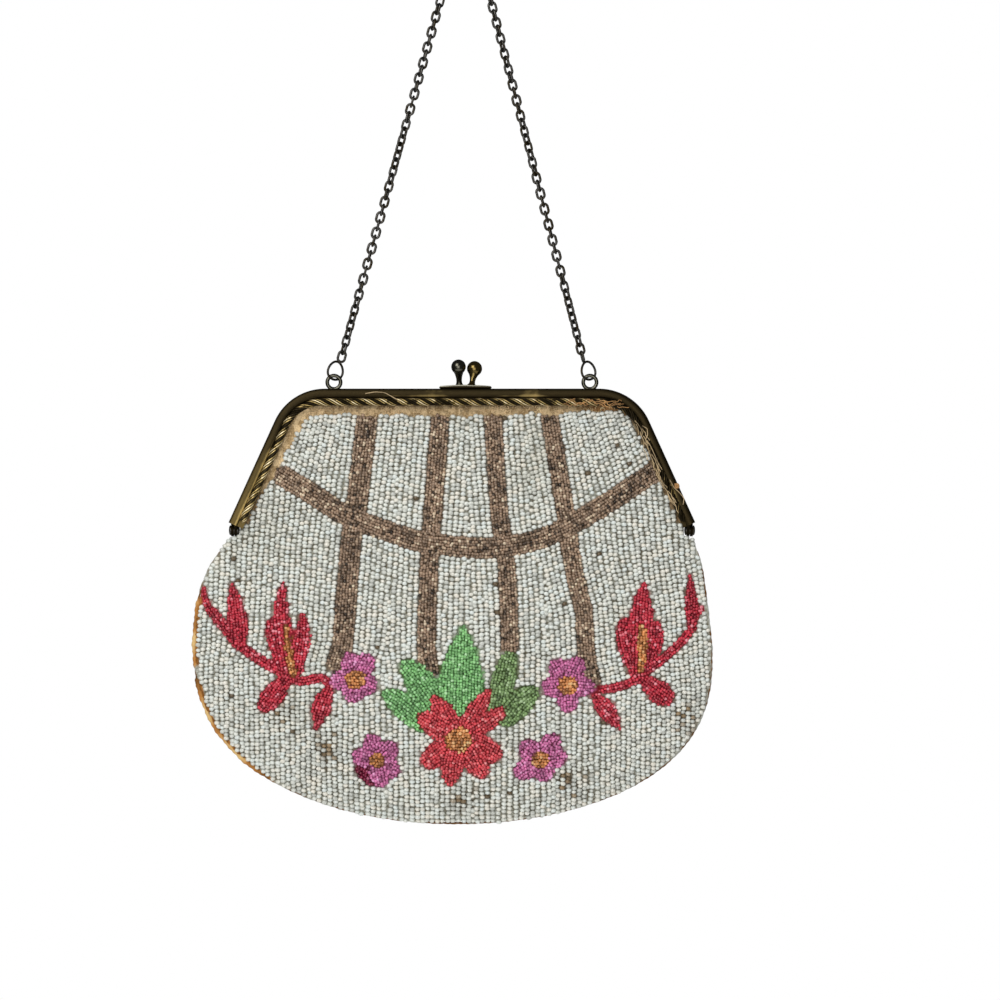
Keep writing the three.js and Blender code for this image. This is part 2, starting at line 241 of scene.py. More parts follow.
def ringed(rings, closed=False):
    """A tube through rings of points, one row each; open ends get flat caps."""
    rows, columns, _ = rings.shape
    faces = [grid_faces(rows, columns, closed, True)]
    if not closed:
        faces.append(np.arange(columns)[None, :])
        faces.append(np.arange(columns)[None, ::-1] + (rows - 1) * columns)
    return outward(Part(rings.reshape(-1, 3), faces))


def unit(vectors):
    size = np.linalg.norm(vectors, axis=-1, keepdims=True)
    return vectors / np.maximum(size, 1e-9)


def frames_along(path, beside, closed=False):
    """Tangent and two cross directions at each point of a path, from its chords and a steady direction."""
    if closed:
        chord = np.roll(path, -1, axis=0) - np.roll(path, 1, axis=0)
    else:
        chord = np.gradient(path, axis=0)
    tangent = unit(chord)
    across = unit(np.cross(tangent, np.asarray(beside, float)))
    return tangent, across, np.cross(tangent, across)


def tube(path, radius, sides, beside=(0, 1, 0), closed=False):
    """A round tube: at each point of the path, a circle of that point's radius in the cross directions."""
    _, across, upright = frames_along(path, beside, closed)
    turn = full_turn(sides)
    circle = across[:, None] * np.cos(turn)[None, :, None] + upright[:, None] * np.sin(turn)[None, :, None]
    size = np.broadcast_to(np.asarray(radius, float), len(path))
    return ringed(path[:, None] + circle * size[:, None, None], closed)


def copied(part, places, axes):
    """Copies of a part as one: the part's three coordinates go along each copy's axes from its place."""
    points = places[:, None] + np.einsum("kj,njc->nkc", part.points, axes)
    shift = (np.arange(len(places)) * len(part.points))[:, None, None]
    faces = [(corners + shift).reshape(-1, corners.shape[1]) for corners in part.faces]
    return outward(Part(points.reshape(-1, 3), faces))


def shell(outer, inner):
    """A closed sheet between two grids of points, joined along all four edges."""
    rows, columns, _ = outer.shape
    count = rows * columns
    skin = grid_faces(rows, columns)
    index = np.arange(count).reshape(rows, columns)
    rim = np.concatenate([index[0, :-1], index[:-1, -1], index[-1, :0:-1], index[:0:-1, 0]])
    ahead = np.roll(rim, -1)
    edge = np.stack([rim, ahead, ahead + count, rim + count], axis=1)
    points = np.concatenate([outer.reshape(-1, 3), inner.reshape(-1, 3)])
    walls = Part(points, [skin, skin[:, ::-1] + count, edge[:, ::-1]])
    return outward(walls)


def make_piece(name, parts, finish, stands_for=(), tone=None, shade=None, crease=42):
    """One object from several parts that rides on the bag, with its finish and the nodes it stands for."""
    points = []
    loops = []
    sizes = []
    start = 0
    for part in parts:
        points.append(part.points)
        for corners in part.faces:
            loops.append((corners + start).ravel())
            sizes.append(np.full(len(corners), corners.shape[1]))
        start += len(part.points)
    points = np.concatenate(points) * METRES
    loops = np.concatenate(loops)
    sizes = np.concatenate(sizes)
    mesh = bpy.data.meshes.new(name)
    mesh.vertices.add(len(points))
    mesh.vertices.foreach_set("co", points.astype(np.float32).ravel())
    mesh.loops.add(len(loops))
    mesh.loops.foreach_set("vertex_index", loops.astype(np.int32))
    mesh.polygons.add(len(sizes))
    mesh.polygons.foreach_set("loop_start", (np.cumsum(sizes) - sizes).astype(np.int32))
    mesh.update(calc_edges=True)
    mesh.shade_smooth()
    if crease:
        mesh.set_sharp_from_angle(angle=math.radians(crease))
    if tone is not None:
        layer = mesh.attributes.new("tone", "FLOAT", "POINT")
        layer.data.foreach_set("value", tone.astype(np.float32))
    if shade is not None:
        layer = mesh.attributes.new("shade", "FLOAT_COLOR", "POINT")
        layer.data.foreach_set("color", shade.astype(np.float32).ravel())
    mesh.materials.append(finish)
    piece = bpy.data.objects.new(name, mesh)
    bpy.context.scene.collection.objects.link(piece)
    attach(piece, "root")
    if stands_for:
        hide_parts(*stands_for)
    return piece


# Shader nodes

class Wire:
    """One output of a node, or a bare node tree, so that shader maths reads as Python."""

    def __init__(self, tree, socket=None):
        self.tree = tree
        self.socket = socket

    def node(self, kind, given=None, inputs=None, output=0):
        """A node of a kind with its settings, then the values or wires of its sockets; gives one output."""
        made = self.tree.nodes.new(kind)
        for key, value in (given or {}).items():
            if key == "stops":
                ramp = made.color_ramp
                while len(ramp.elements) < len(value):
                    ramp.elements.new(1.0)
                for stop, (place, shade) in zip(ramp.elements, value):
                    stop.position = place
                    stop.color = (*shade, 1.0)
            else:
                setattr(made, key, value)
        for key, value in (inputs or {}).items():
            if isinstance(value, Wire):
                self.tree.links.new(value.socket, made.inputs[key])
            else:
                made.inputs[key].default_value = value
        return Wire(self.tree, made.outputs[output] if made.outputs else None)

    def math(self, operation, first, second):
        return self.node("ShaderNodeMath", {"operation": operation}, {0: first, 1: second})

    def __add__(self, other):
        return self.math("ADD", self, other)

    __radd__ = __add__

    def __sub__(self, other):
        return self.math("SUBTRACT", self, other)

    def __rsub__(self, other):
        return self.math("SUBTRACT", other, self)

    def __mul__(self, other):
        return self.math("MULTIPLY", self, other)

    __rmul__ = __mul__

    def ramp(self, *stops):
        """A colour that changes with this value through the given stops."""
        return self.node("ShaderNodeValToRGB", {"stops": stops}, {0: self})

    def between(self, low, high):
        """This value spread from 0 at low to 1 at high, smoothly and without passing either."""
        given = {"interpolation_type": "SMOOTHSTEP"}
        return self.node("ShaderNodeMapRange", given, {0: self, 1: low, 2: high, 3: 0.0, 4: 1.0})

    def blend(self, first, second):
        """A colour that goes from first to second as this value goes from 0 to 1."""
        return self.node("ShaderNodeMix", {"data_type": "RGBA"}, {0: self, 6: first, 7: second}, 2)


def flat(shade):
    """A colour of three numbers with full cover."""
    return (*shade, 1.0)


def scaled(shade, factor):
    return tuple(min(1.0, c * factor) for c in shade)


def new_finish(name):
    """An empty material, its tree as a bare wire, and Object coordinates."""
    finish = bpy.data.materials.new(name)
    finish.use_nodes = True
    finish.node_tree.nodes.clear()
    tree = Wire(finish.node_tree)
    return finish, tree, tree.node("ShaderNodeTexCoord", output=3)


def cover(tree, inputs):
    """Ends a material: one Principled surface with the given sockets."""
    surface = tree.node("ShaderNodeBsdfPrincipled", None, inputs)
    tree.node("ShaderNodeOutputMaterial", None, {0: surface})


def noise(tree, place, scale, detail=3.0):
    return tree.node("ShaderNodeTexNoise", None, {"Vector": place, "Scale": scale, "Detail": detail}, 0)


def tone_of(tree):
    """The tone that each bead or ridge carries."""
    return tree.node("ShaderNodeAttribute", {"attribute_name": "tone"}, output=2)


def bumpy(tree, strength, distance, height):
    return tree.node("ShaderNodeBump", None, {"Strength": strength, "Distance": distance, "Height": height})


SOFT_GLASS = {
    "IOR": 1.5,
    "Subsurface Weight": 0.3,
    "Subsurface Radius": (1.0, 1.0, 1.0),
    "Subsurface Scale": 0.0008,
}


def glass_finish(name, shade, glint):
    """Coloured glass beads: each bead's own tone picks its depth of colour, up to a painted glint at the top,
    deeper in soft patches.
    """
    finish, tree, place = new_finish(name)
    # The palest stop is a painted glint; the other stops are each bead's own colour
    body = tone_of(tree).ramp((0.0, scaled(shade, glint.dark)), (0.2, scaled(shade, 0.75)), (0.6, shade),
                              (0.82, scaled(shade, 1.25)), (1.0, to_linear(glint.pale)))
    deep = tone_of(tree).ramp((0.0, scaled(shade, glint.dark * 0.8)), (0.7, scaled(shade, 0.7)),
                              (1.0, shade))
    patch = noise(tree, place, 190.0).between(0.46, 0.64) * glint.patch
    cover(tree, {"Base Color": patch.blend(body, deep), "Roughness": 0.25, **SOFT_GLASS})
    return finish


def white_finish(values):
    """White glass beads: a tone for each bead, and soft soiled patches over the whole panel."""
    finish, tree, place = new_finish("white_glass")
    clean = tone_of(tree).ramp((0.0, scaled(values.stain, 0.4)), (0.1, values.stain),
                               (0.2, scaled(values.white, 0.72)), (0.5, values.white),
                               (0.68, to_linear((227, 222, 209))), (0.84, to_linear((217, 222, 217))),
                               (1.0, scaled(values.white, 1.08)))
    soil = noise(tree, place, 24.0).between(0.54, 0.74) * 0.3
    cover(tree, {"Base Color": soil.blend(clean, flat(values.white_dull)), "Roughness": 0.24, **SOFT_GLASS})
    return finish


def cloth_finish():
    """Ground cloth: a plain weave of fine threads over its own shade, darker in small patches, partly
    mottling and partly painted shade of deep gaps, with fuzz in its bump.
    """
    finish, tree, place = new_finish("ground_cloth")
    fine = {"Vector": place, "Scale": 330.0, "Distortion": 7.0, "Detail": 2.0, "Detail Scale": 2.0}
    weft = tree.node("ShaderNodeTexWave", {"bands_direction": "Z"}, fine)
    warp = tree.node("ShaderNodeTexWave", {"bands_direction": "X"}, fine)
    weave = (weft + warp) * 0.5
    fuzz = noise(tree, place, 900.0)
    shade = tree.node("ShaderNodeAttribute", {"attribute_name": "shade"}, output=0)
    # Darker patches: mottling of the cloth, and painted shade of the deep gaps where beads meet
    deep = tree.node("ShaderNodeMix", {"data_type": "RGBA", "blend_type": "MULTIPLY"},
                     {0: 1.0, 6: shade, 7: (0.4, 0.35, 0.28, 1.0)}, 2)
    mottle_and_gap_shade = noise(tree, place, 520.0).between(0.4, 0.6) * 0.7 + (weave * fuzz).between(0.05, 0.5) * 0.3
    cover(tree, {"Base Color": mottle_and_gap_shade.blend(deep, shade), "Roughness": 0.9,
                 "Normal": bumpy(tree, 0.6, 0.0003, weave + fuzz), "Specular IOR Level": 0.2})
    return finish


def cover_thread(tree, place, body):
    """Ends a thread's material: matte, with fuzz in its bump."""
    bump = bumpy(tree, 0.5, 0.0003, noise(tree, place, 800.0))
    cover(tree, {"Base Color": body, "Roughness": 0.85, "Normal": bump, "Specular IOR Level": 0.2})


def thread_finish(name, shade):
    """Thread: one colour and its darker and lighter lengths."""
    finish, tree, place = new_finish(name)
    body = noise(tree, place, 160.0).ramp((0.25, scaled(shade, 0.25)), (0.45, scaled(shade, 0.7)),
                                          (0.6, shade), (0.8, scaled(shade, 1.5)))
    cover_thread(tree, place, body)
    return finish


def seam_finish(values):
    """The seam's edge: rust-coloured where its tone is high, elsewhere pale with dark reddish lengths."""
    finish, tree, place = new_finish("seam_thread")
    spots = noise(tree, place, 120.0)
    rust = spots.ramp((0.3, scaled(values.thread, 0.4)), (0.45, scaled(values.thread, 0.8)),
                      (0.52, values.thread), (0.66, to_linear((214, 178, 118))))
    plain = spots.ramp((0.34, scaled(values.thread, 0.15)), (0.46, scaled(values.thread, 0.35)),
                       (0.54, scaled(values.shadow, 0.7)), (0.7, values.shadow))
    cover_thread(tree, place, tone_of(tree).blend(plain, rust))
    return finish


# Where the frame's left arm ends on its right, and how far down its finish fades in, in metres
ARM_EDGE = (-0.07, -0.054)
ARM_FADE = 0.04


def left_arm(tree, place, start):
    """A mask over the frame's left arm, which grows below a starting height, in metres."""
    left = 1 - tree.node("ShaderNodeSeparateXYZ", None, {0: place}, 0).between(*ARM_EDGE)
    low = 1 - tree.node("ShaderNodeSeparateXYZ", None, {0: place}, 2).between(start - ARM_FADE, start)
    return left * low


def rope_finish(values):
    """The rope edging: rubbed brass with painted highlights on its ridges, near-black tarnish between, golden
    on the left arm.
    """
    finish, tree, place = new_finish("rope_brass")
    arm = left_arm(tree, place, -0.172)
    worn_and_highlit = tone_of(tree) * (noise(tree, place, 330.0).between(0.36, 0.54) * 0.65 + 0.35) + arm * 0.2
    # The top stop, pale cream, is a painted highlight colour
    body = worn_and_highlit.ramp((0.0, scaled(values.tarnish, 0.25)), (0.3, values.tarnish), (0.65, values.brass),
                     (1.0, to_linear((250, 232, 188))))
    cover(tree, {"Base Color": body, "Roughness": (1 - worn_and_highlit) * 0.2 + 0.3, "Metallic": 1 - worn_and_highlit * 0.5})
    return finish


def brass_finish(name, dark, bright, rubbed, roughness, dusty=0.0, highlight_weight=0.16):
    """Aged metal: dark tarnish rubbed through in patches, paler where its tone is high, and lighter on the
    left arm.

    Dusty metal mirrors less where it is rubbed, and its tarnish is paler on the left arm. Through the
    highlight weight, the tone paints highlight lines on the rail and on the clasp's strips.
    """
    finish, tree, place = new_finish(name)
    arm = left_arm(tree, place, -0.178)
    # Real rubbing from noise, plus painted highlight lines from the tone
    rub_and_highlight = noise(tree, place, 55.0, 5.0) + tone_of(tree) * (arm * 0.34 + highlight_weight) + arm * 0.1
    wear_and_highlight = rub_and_highlight.between(0.6 - rubbed, 0.92 - rubbed)
    grain = noise(tree, place, 420.0)
    body = wear_and_highlight.blend((arm * (dusty * 0.3)).blend(flat(dark), flat(bright)), flat(bright))
    dull = (1 - wear_and_highlight) * 0.2 + grain * 0.12 + roughness
    cover(tree, {"Base Color": body, "Roughness": dull, "Metallic": 1 - wear_and_highlight * dusty,
                 "Normal": bumpy(tree, 0.15, 0.0002, grain)})
    return finish


def steel_finish(name, values):
    """Blackened steel: near black, a little browner and rougher in small patches."""
    finish, tree, place = new_finish(name)
    patch = noise(tree, place, 260.0).between(0.4, 0.7)
    body = patch.blend(flat(values.steel), flat(scaled(values.tarnish, 1.1)))
    cover(tree, {"Base Color": body, "Roughness": patch * 0.2 + 0.28, "Metallic": 0.9})
    return finish


# The frame's line

def smoothstep(value, low, high):
    part = np.clip((value - low) / (high - low), 0, 1)
    return part * part * (3 - 2 * part)


def lean():
    return math.atan(settings().frame.flank_slope)


def corner_out():
    """Middle of the corner's circle, out from the frame's middle."""
    sizes = settings().frame
    radius = mm(sizes.corner)
    return mm(sizes.top_half) + sizes.flank_slope * radius - radius / math.cos(lean())


def frame_half(drop, inset):
    """Half the frame's width at a drop, measured to a line an inset inside its outer edge."""
    sizes = settings().frame
    radius = mm(sizes.corner) - inset
    above = mm(sizes.corner) - np.asarray(drop, float)
    arc = corner_out() + np.sqrt(np.maximum(0, radius * radius - above * above))
    flank = mm(sizes.top_half) + sizes.flank_slope * np.asarray(drop, float) - inset / math.cos(lean())
    return np.where(above > radius * math.sin(lean()), arc, flank)


def frame_line(inset, count):
    """Points along a line an inset inside the frame's outer edge, end to end, with outward directions.

    The line runs straight along the top, round a corner's circle and straight down each flank.
    """
    sizes = settings().frame
    radius = mm(sizes.corner) - inset
    turn_whole = math.pi / 2 - lean()
    flank = (mm(sizes.rail_end) - (mm(sizes.corner) - radius * math.sin(lean()))) / math.cos(lean())
    half = corner_out() + radius * turn_whole + flank
    run = np.linspace(-half, half, count)
    hand = np.sign(run)
    past = np.abs(run) - corner_out()
    turn = np.clip(past / radius, 0, turn_whole)
    out = np.stack([np.sin(turn), np.cos(turn)], axis=1)
    along = np.stack([out[:, 1], -out[:, 0]], axis=1)
    straight = past - turn * radius
    spot = np.array([corner_out(), -mm(sizes.corner)]) + out * radius + along * straight[:, None]
    spot[:, 0] *= hand
    out[:, 0] *= hand
    return run, spot, out


def in_frame(points):
    """Points in the frame's own place moved to where the frame hangs."""
    sizes = settings().frame
    return points + np.array([mm(sizes.offset), 0, -mm(sizes.hang)])


# How far the edging lies towards the rail's outer edge on the right arm, and away from it along the top
RIGHT_LIFT = 0.9
TOP_DROP = 0.5


def narrowing(run):
    """How much nearer the rail's outer edge the edging lies: more on the right arm, less along the top."""
    return RIGHT_LIFT * smoothstep(run, 58, 78) + TOP_DROP * smoothstep(np.abs(run), 48, 66) - TOP_DROP


def carried(spot, out, lift, depth):
    """A bar along the frame's line, through rings of points lifted outwards from it and set at depths."""
    x, z = (spot[:, None, k] + out[:, None, k] * lift for k in range(2))
    return ringed(in_frame(points_of(x, depth, z)))


def bell(value, middle, width):
    """A soft hump of height 1 about a middle."""
    return np.exp(-((value - middle) / width) ** 2)


def rail_part(side):
    """The smooth rail, with a tone that is high near its inner edge and a little near its outer edge: painted
    highlight lines.

    A rounded section with a thin flange is carried along the frame's line.
    """
    sizes = settings().frame
    high = mm(sizes.rail)
    crown = mm(sizes.front)
    seat = 3.4
    under = 2.6
    web = 1.0
    arc = np.linspace(0, np.pi, 11)
    inset = np.concatenate([[0.0], high / 2 - high / 2 * np.cos(arc), [mm(sizes.flange)] * 2, [web] * 2])
    forward = np.concatenate([[mm(sizes.back)], seat + (crown - seat) * np.sin(arc) ** 0.8, [seat, under],
                              [under, mm(sizes.back)]])
    run, spot, out = frame_line(0.0, 181)
    # Painted highlight lines: the tone is high near the inner edge and a little near the outer edge
    tone = 0.1 * bell(inset, 1.0, 0.6) + bell(inset, 2.7, 0.4)
    inset = inset - np.where(inset > high, narrowing(run)[:, None], 0)
    return carried(spot, out, -inset, -side * forward), np.tile(tone, len(spot))


def rope_part(side):
    """The twisted edging, with a tone that is high on its ridges: rubbed brass with painted highlights.

    Eight ridges, in two groups of four, turn once in each lead along the frame's line.
    """
    sizes = settings().frame
    run, spot, out = frame_line(mm(sizes.rope_inset), 420)
    phase = full_turn(56)
    turn = phase + 2 * np.pi * run[:, None] / mm(sizes.rope_lead)
    ridge = np.abs(np.cos(4 * phase)) ** 0.8
    group = 0.5 + 0.5 * np.cos(2 * phase)
    ends = np.sqrt(np.clip((run[-1] - np.abs(run)) / 1.3, 0.06, 1))
    radius = mm(sizes.rope_radius) * (0.68 + 0.22 * ridge + 0.1 * group) * ends[:, None]
    lift = radius * np.cos(turn) + narrowing(run)[:, None]
    depth = -side * (mm(sizes.rope_forward) + radius * np.sin(turn))
    # Painted highlight: one group of four ridges gets a higher tone than the other; the tone is lower on the
    # right arm
    bright = 0.15 + 0.85 * smoothstep(group, 0.1, 0.9)
    tone = (1 - 0.6 * smoothstep(run, 40, 62))[:, None] * smoothstep(ridge, 0.55, 0.9) * bright
    return carried(spot, out, lift, depth), tone.ravel()


def ear_part(side, hand):
    """A hinge ear: a plate with one round end about the hinge's axis, drawn out across it."""
    sizes = settings().frame
    radius = mm(sizes.ear_radius)
    thick = mm(sizes.ear)
    axis = -mm(sizes.hinge_drop)
    lap = 1.5
    neck = 1.6
    deep = -4.1
    top = -mm(sizes.rail_end) + lap
    arc = np.linspace(np.pi, 2.25 * np.pi, 14)
    depth = np.concatenate([[deep, deep], radius * np.cos(arc), [-mm(sizes.back)]])
    height = np.concatenate([[top, axis + neck], axis + radius * np.sin(arc), [top]])
    low = mm(sizes.hinge_inner)
    if side < 0:
        low += thick + GAP
    edges = hand * np.array([low, low + thick])
    return ringed(in_frame(points_of(edges[:, None], side * depth, height)))


def eyelet_part(hand):
    """A ring eyelet on the front rail: a round wire on a circle that faces the front."""
    sizes = settings().frame
    turn = full_turn(40)
    radius = mm(sizes.eyelet_radius)
    path = points_of(hand * mm(sizes.eyelet_out) + radius * np.cos(turn), -CHAIN_FORWARD,
                     mm(sizes.eyelet_rise) + radius * np.sin(turn))
    return tube(in_frame(path), mm(sizes.eyelet_wire), 12, closed=True)


def rivet_part(hand):
    """A hinge rivet: a pin with two domed heads, turned about the hinge's axis."""
    sizes = settings().frame
    half = mm(sizes.ear) + 1.5 * GAP
    head_depth = 0.6
    head_radius = 1.9
    pin = 1.7
    dome = np.linspace(0.05, np.pi / 2, 7)
    head = np.stack([half + head_depth * np.cos(dome), head_radius * np.sin(dome)], axis=1)
    near = np.concatenate([head, [[half, pin]]])
    along, out = np.concatenate([near, near[::-1] * [-1, 1]]).T
    middle = mm(sizes.hinge_inner) + mm(sizes.ear) + GAP / 2
    path = points_of(hand * (middle + along), 0.0, -mm(sizes.hinge_drop))
    return tube(in_frame(path), out, 24)


def end_ring_part(hand):
    """An end ring: a wire on an oval, narrower above, hooked through the eyelet and leaning to the chain."""
    sizes = settings().frame
    high = mm(sizes.ring_high)
    wide = mm(sizes.ring_wide)
    turn = full_turn(48)
    spin = math.radians(48)
    tip = math.radians(-hand * 10)
    flat_x = wide * np.cos(turn) * (1 - 0.14 * np.sin(turn))
    rise = high + high * np.sin(turn)
    x = flat_x * math.cos(spin)
    y = flat_x * math.sin(spin)
    hook = mm(sizes.eyelet_rise + sizes.eyelet_radius - sizes.eyelet_wire - sizes.ring_wire) - GAP
    tipped = hand * mm(sizes.eyelet_out) + x * math.cos(tip) + rise * math.sin(tip)
    path = points_of(tipped, y - CHAIN_FORWARD, hook - x * math.sin(tip) + rise * math.cos(tip))
    return tube(in_frame(path), mm(sizes.ring_wire), 10, beside=(0.3, 1, 0), closed=True)


# The clasp

# Where each clasp half lies: before or behind the middle plane, and right of the frame's middle
CLASP_FORWARD = 2.15
CLASP_MIDDLE = 1.3
Knob = namedtuple("Knob", "side foot ball rise radius")
KNOBS = {
    "clasp_front": Knob(1, 3.6, 4.7, 7.6, 2.85),
    "clasp_back": Knob(-1, -1.0, -1.3, 8.3, 2.75),
}


def knob_part(knob):
    """A clasp's knob, turned about a leaning line: a ball, a hollow neck, a stem and a spread foot."""
    foot = np.array([knob.foot, -knob.side * CLASP_FORWARD, 0.9])
    ball = np.array([knob.ball, 0.0, knob.rise])
    axis = unit(ball - foot)
    reach = np.linalg.norm(ball - foot)
    stem = 0.92
    spread = 1.1
    polar = np.linspace(0.04, math.pi - 0.75, 16)
    ball_along = reach + knob.radius * np.cos(polar)
    ball_out = knob.radius * np.sin(polar)
    neck = np.linspace(0, 1, 11)[1:]
    neck_along = ball_along[-1] * (1 - neck)
    neck_out = stem + (ball_out[-1] - stem) * (1 - neck) ** 3 + spread * neck ** 6
    along = np.concatenate([ball_along, neck_along])
    out = np.concatenate([ball_out, neck_out])
    return tube(in_frame(foot + axis * along[:, None]), out, 28)


def strip_part(side):
    """A clasp's strip: a rounded bar with a gently arched top; its tone, high on its upper edges, paints a
    highlight.
    """
    half = 9.8
    half_depth = 1.7
    lowest = 0.06
    x = np.linspace(-half, half, 41)
    top = 0.95 + 0.5 * (1 - (x / half) ** 2)
    ends = np.clip((half - np.abs(x)) / 0.5, 0.35, 1)
    corner = full_turn(16)
    depth = half_depth * np.sign(np.cos(corner)) * np.abs(np.cos(corner)) ** 0.75
    height = np.sign(np.sin(corner)) * np.abs(np.sin(corner)) ** 0.6
    y = -side * CLASP_FORWARD + depth * ends[:, None]
    z = lowest + top[:, None] / 2 * (1 + height * ends[:, None])
    # Painted highlight line along the strip's upper edges
    tone = smoothstep(height, 0.0, 0.6) * smoothstep(np.abs(depth), 0.6, 1.3)
    return ringed(in_frame(points_of(x[:, None] + CLASP_MIDDLE, y, z))), np.tile(tone, len(x))


# The chain

def chain_line(count):
    """Points along the chain, left end to right end: a straight strand, a round bend, a straight strand."""
    sizes = settings().chain
    left = math.atan(sizes.left_slope)
    right = math.atan(sizes.right_slope)
    bend = mm(sizes.bend)
    end = mm(sizes.end)
    arc = np.linspace(math.pi - left, right, 200)
    curve = np.stack([bend * np.cos(arc), bend * (np.sin(arc) - 1)], axis=1)
    spread_left = sizes.left_slope * (end + bend * (1 / math.sin(left) - 1))
    spread_right = sizes.right_slope * (end + bend * (1 / math.sin(right) - 1))
    line = np.concatenate([[[-spread_left, -end]], curve, [[spread_right, -end]]])
    run = run_of(line)
    x, z = at_run(line, run, np.linspace(0, run[-1], count)).T
    return points_of(x, CHAIN_FORWARD * z / end, z), run[-1]


def chain_part():
    """The links: a wire on an oval of two half circles and two straights, each link turned a quarter on."""
    sizes = settings().chain
    wire = mm(sizes.wire) / 2
    pitch = mm(sizes.link_length) - 4 * wire
    _, whole = chain_line(2)
    count = 2 * round(whole / pitch / 2)
    path, _ = chain_line(2 * count + 1)
    centre = path[1::2]
    tangent = unit(path[2::2] - path[:-1:2])
    across = unit(np.cross(tangent, [0.0, 1.0, 0.0]))
    depth = np.cross(tangent, across)
    index = np.arange(count)
    uneven = 0.5 * np.sin(index * 0.16 + 0.7) + 0.25 * np.sin(index * 0.41)
    twist = uneven + np.where(index % 2, math.pi / 2, 0)
    face = across * np.cos(twist)[:, None] + depth * np.sin(twist)[:, None]
    normal = np.cross(tangent, face)
    wide = mm(sizes.link_width) / 2 - wire
    half = mm(sizes.link_length) / 2 - wire
    turn = full_turn(18) + np.pi / 18
    along = wide * np.sin(turn) + (half - wide) * np.sign(np.sin(turn))
    beside = wide * np.cos(turn)
    out = np.stack([np.sin(turn), np.cos(turn)], axis=1)
    ring = full_turn(6)
    run = along[:, None] + wire * np.cos(ring) * out[:, None, 0]
    side = beside[:, None] + wire * np.cos(ring) * out[:, None, 1]
    link = ringed(points_of(run, side, wire * np.sin(ring)), closed=True)
    return copied(link, centre, np.stack([tangent, face, normal], axis=1))


# The pouch's surface

Side = namedtuple("Side", "drop left right")
SIDES = (
    Side(56.2, 87.8, 86.9),
    Side(60.0, 90.2, 88.1),
    Side(66.0, 94.2, 89.7),
    Side(74.0, 97.6, 90.9),
    Side(84.0, 99.7, 92.2),
)

# The panels' top edge, and how far out and how far down they reach inside the frame
CLOTH_TOP = 1.6
HINGE_REACH = 83.3
FRAME_END = 55.4

# The drops between which a panel's rim eases from the frame to the seam, and its depth in each
FREE_FROM = 48
FREE_TO = 68
RIM_HELD = 2.25
RIM_FREE = 1.05

# The round bottom: the power of its curve, and how far its middle sways to the right
LOBE_POWER = 2.6
LOBE_SWAY = 1.6

# The swell: powers of its fall across the width, at the top and at its fullest, and down the panel
FALL_TOP = 1.4
FALL_FULL = 0.8
UPPER_POWER = 1.6
LOWER_POWER = 2.2
LOWER_ROUND = 0.8


def pouch_bottom():
    return mm(settings().pouch.lobe_drop + settings().pouch.lobe_depth)


def pouch_reach(drop):
    """Left and right edges of the pouch at a drop: inside the frame, down the sides, round the bottom."""
    sizes = settings().pouch
    upper = np.linspace(CLOTH_TOP, FRAME_END, 62)
    inside = np.minimum(frame_half(upper, CLOTH_TOP), HINGE_REACH)
    angle = np.linspace(0, math.pi / 2, 90)
    low = mm(sizes.lobe_drop) + mm(sizes.lobe_depth) * np.sin(angle) ** (2 / LOBE_POWER)
    half = mm(sizes.lobe_left + sizes.lobe_right) / 2 * np.cos(angle)
    middle = mm(sizes.lobe_right - sizes.lobe_left) / 2 + LOBE_SWAY * np.sin(2 * angle)
    middle *= np.cos(angle) ** 0.2
    drops = np.concatenate([upper, [s.drop for s in SIDES], low])
    left = np.concatenate([-inside, [-s.left for s in SIDES], middle - half])
    right = np.concatenate([inside, [s.right for s in SIDES], middle + half])
    return np.interp(drop, drops, left), np.interp(drop, drops, right)


def pouch_forward(x, drop):
    """How far the pouch's outer face stands before the middle plane.

    A rim value, which eases from the frame's channel to the free seam, plus a swell that rises down to
    the fullest drop, falls to the bottom, and falls off across the width by a power of the distance out.
    """
    sizes = settings().pouch
    left, right = pouch_reach(drop)
    across = np.clip((2 * x - left - right) / np.maximum(right - left, 1e-6), -1, 1)
    free = smoothstep(drop, FREE_FROM, FREE_TO)
    rim = RIM_HELD + (RIM_FREE - RIM_HELD) * free
    flange = mm(settings().frame.flange) + GAP
    covered = frame_half(drop, flange) / np.maximum(frame_half(drop, CLOTH_TOP), 1)
    inside = np.minimum(1, np.abs(across) / (covered + (1 - covered) * free))
    full = mm(sizes.full_drop)
    fall = FALL_TOP + (FALL_FULL - FALL_TOP) * smoothstep(drop, 0, full)
    upper = np.sin(np.pi / 2 * np.clip((drop - CLOTH_TOP) / (full - CLOTH_TOP), 0, 1)) ** UPPER_POWER
    past = np.clip((drop - full) / (pouch_bottom() - full), 0, 1)
    lower = np.maximum(0, 1 - past ** LOWER_POWER) ** LOWER_ROUND
    return rim + mm(sizes.swell) * upper * lower * np.maximum(0, 1 - inside ** 2) ** fall


def panel_places(x, drop, side, sunk):
    """Points under the outer face of a panel, with the face's outward direction and its two tangents."""
    step = 0.2
    rise_x = np.clip((pouch_forward(x + step, drop) - pouch_forward(x - step, drop)) / (2 * step), -2, 2)
    rise_d = np.clip((pouch_forward(x, drop + step) - pouch_forward(x, drop - step)) / (2 * step), -2, 2)
    face = in_frame(points_of(x, -side * pouch_forward(x, drop), -drop))
    normal = unit(points_of(-rise_x, -side, rise_d))
    right = points_of(1.0, -side * rise_x, 0.0)
    down = points_of(0.0, -side * rise_d, -1.0)
    return face - normal * sunk, normal, right, down


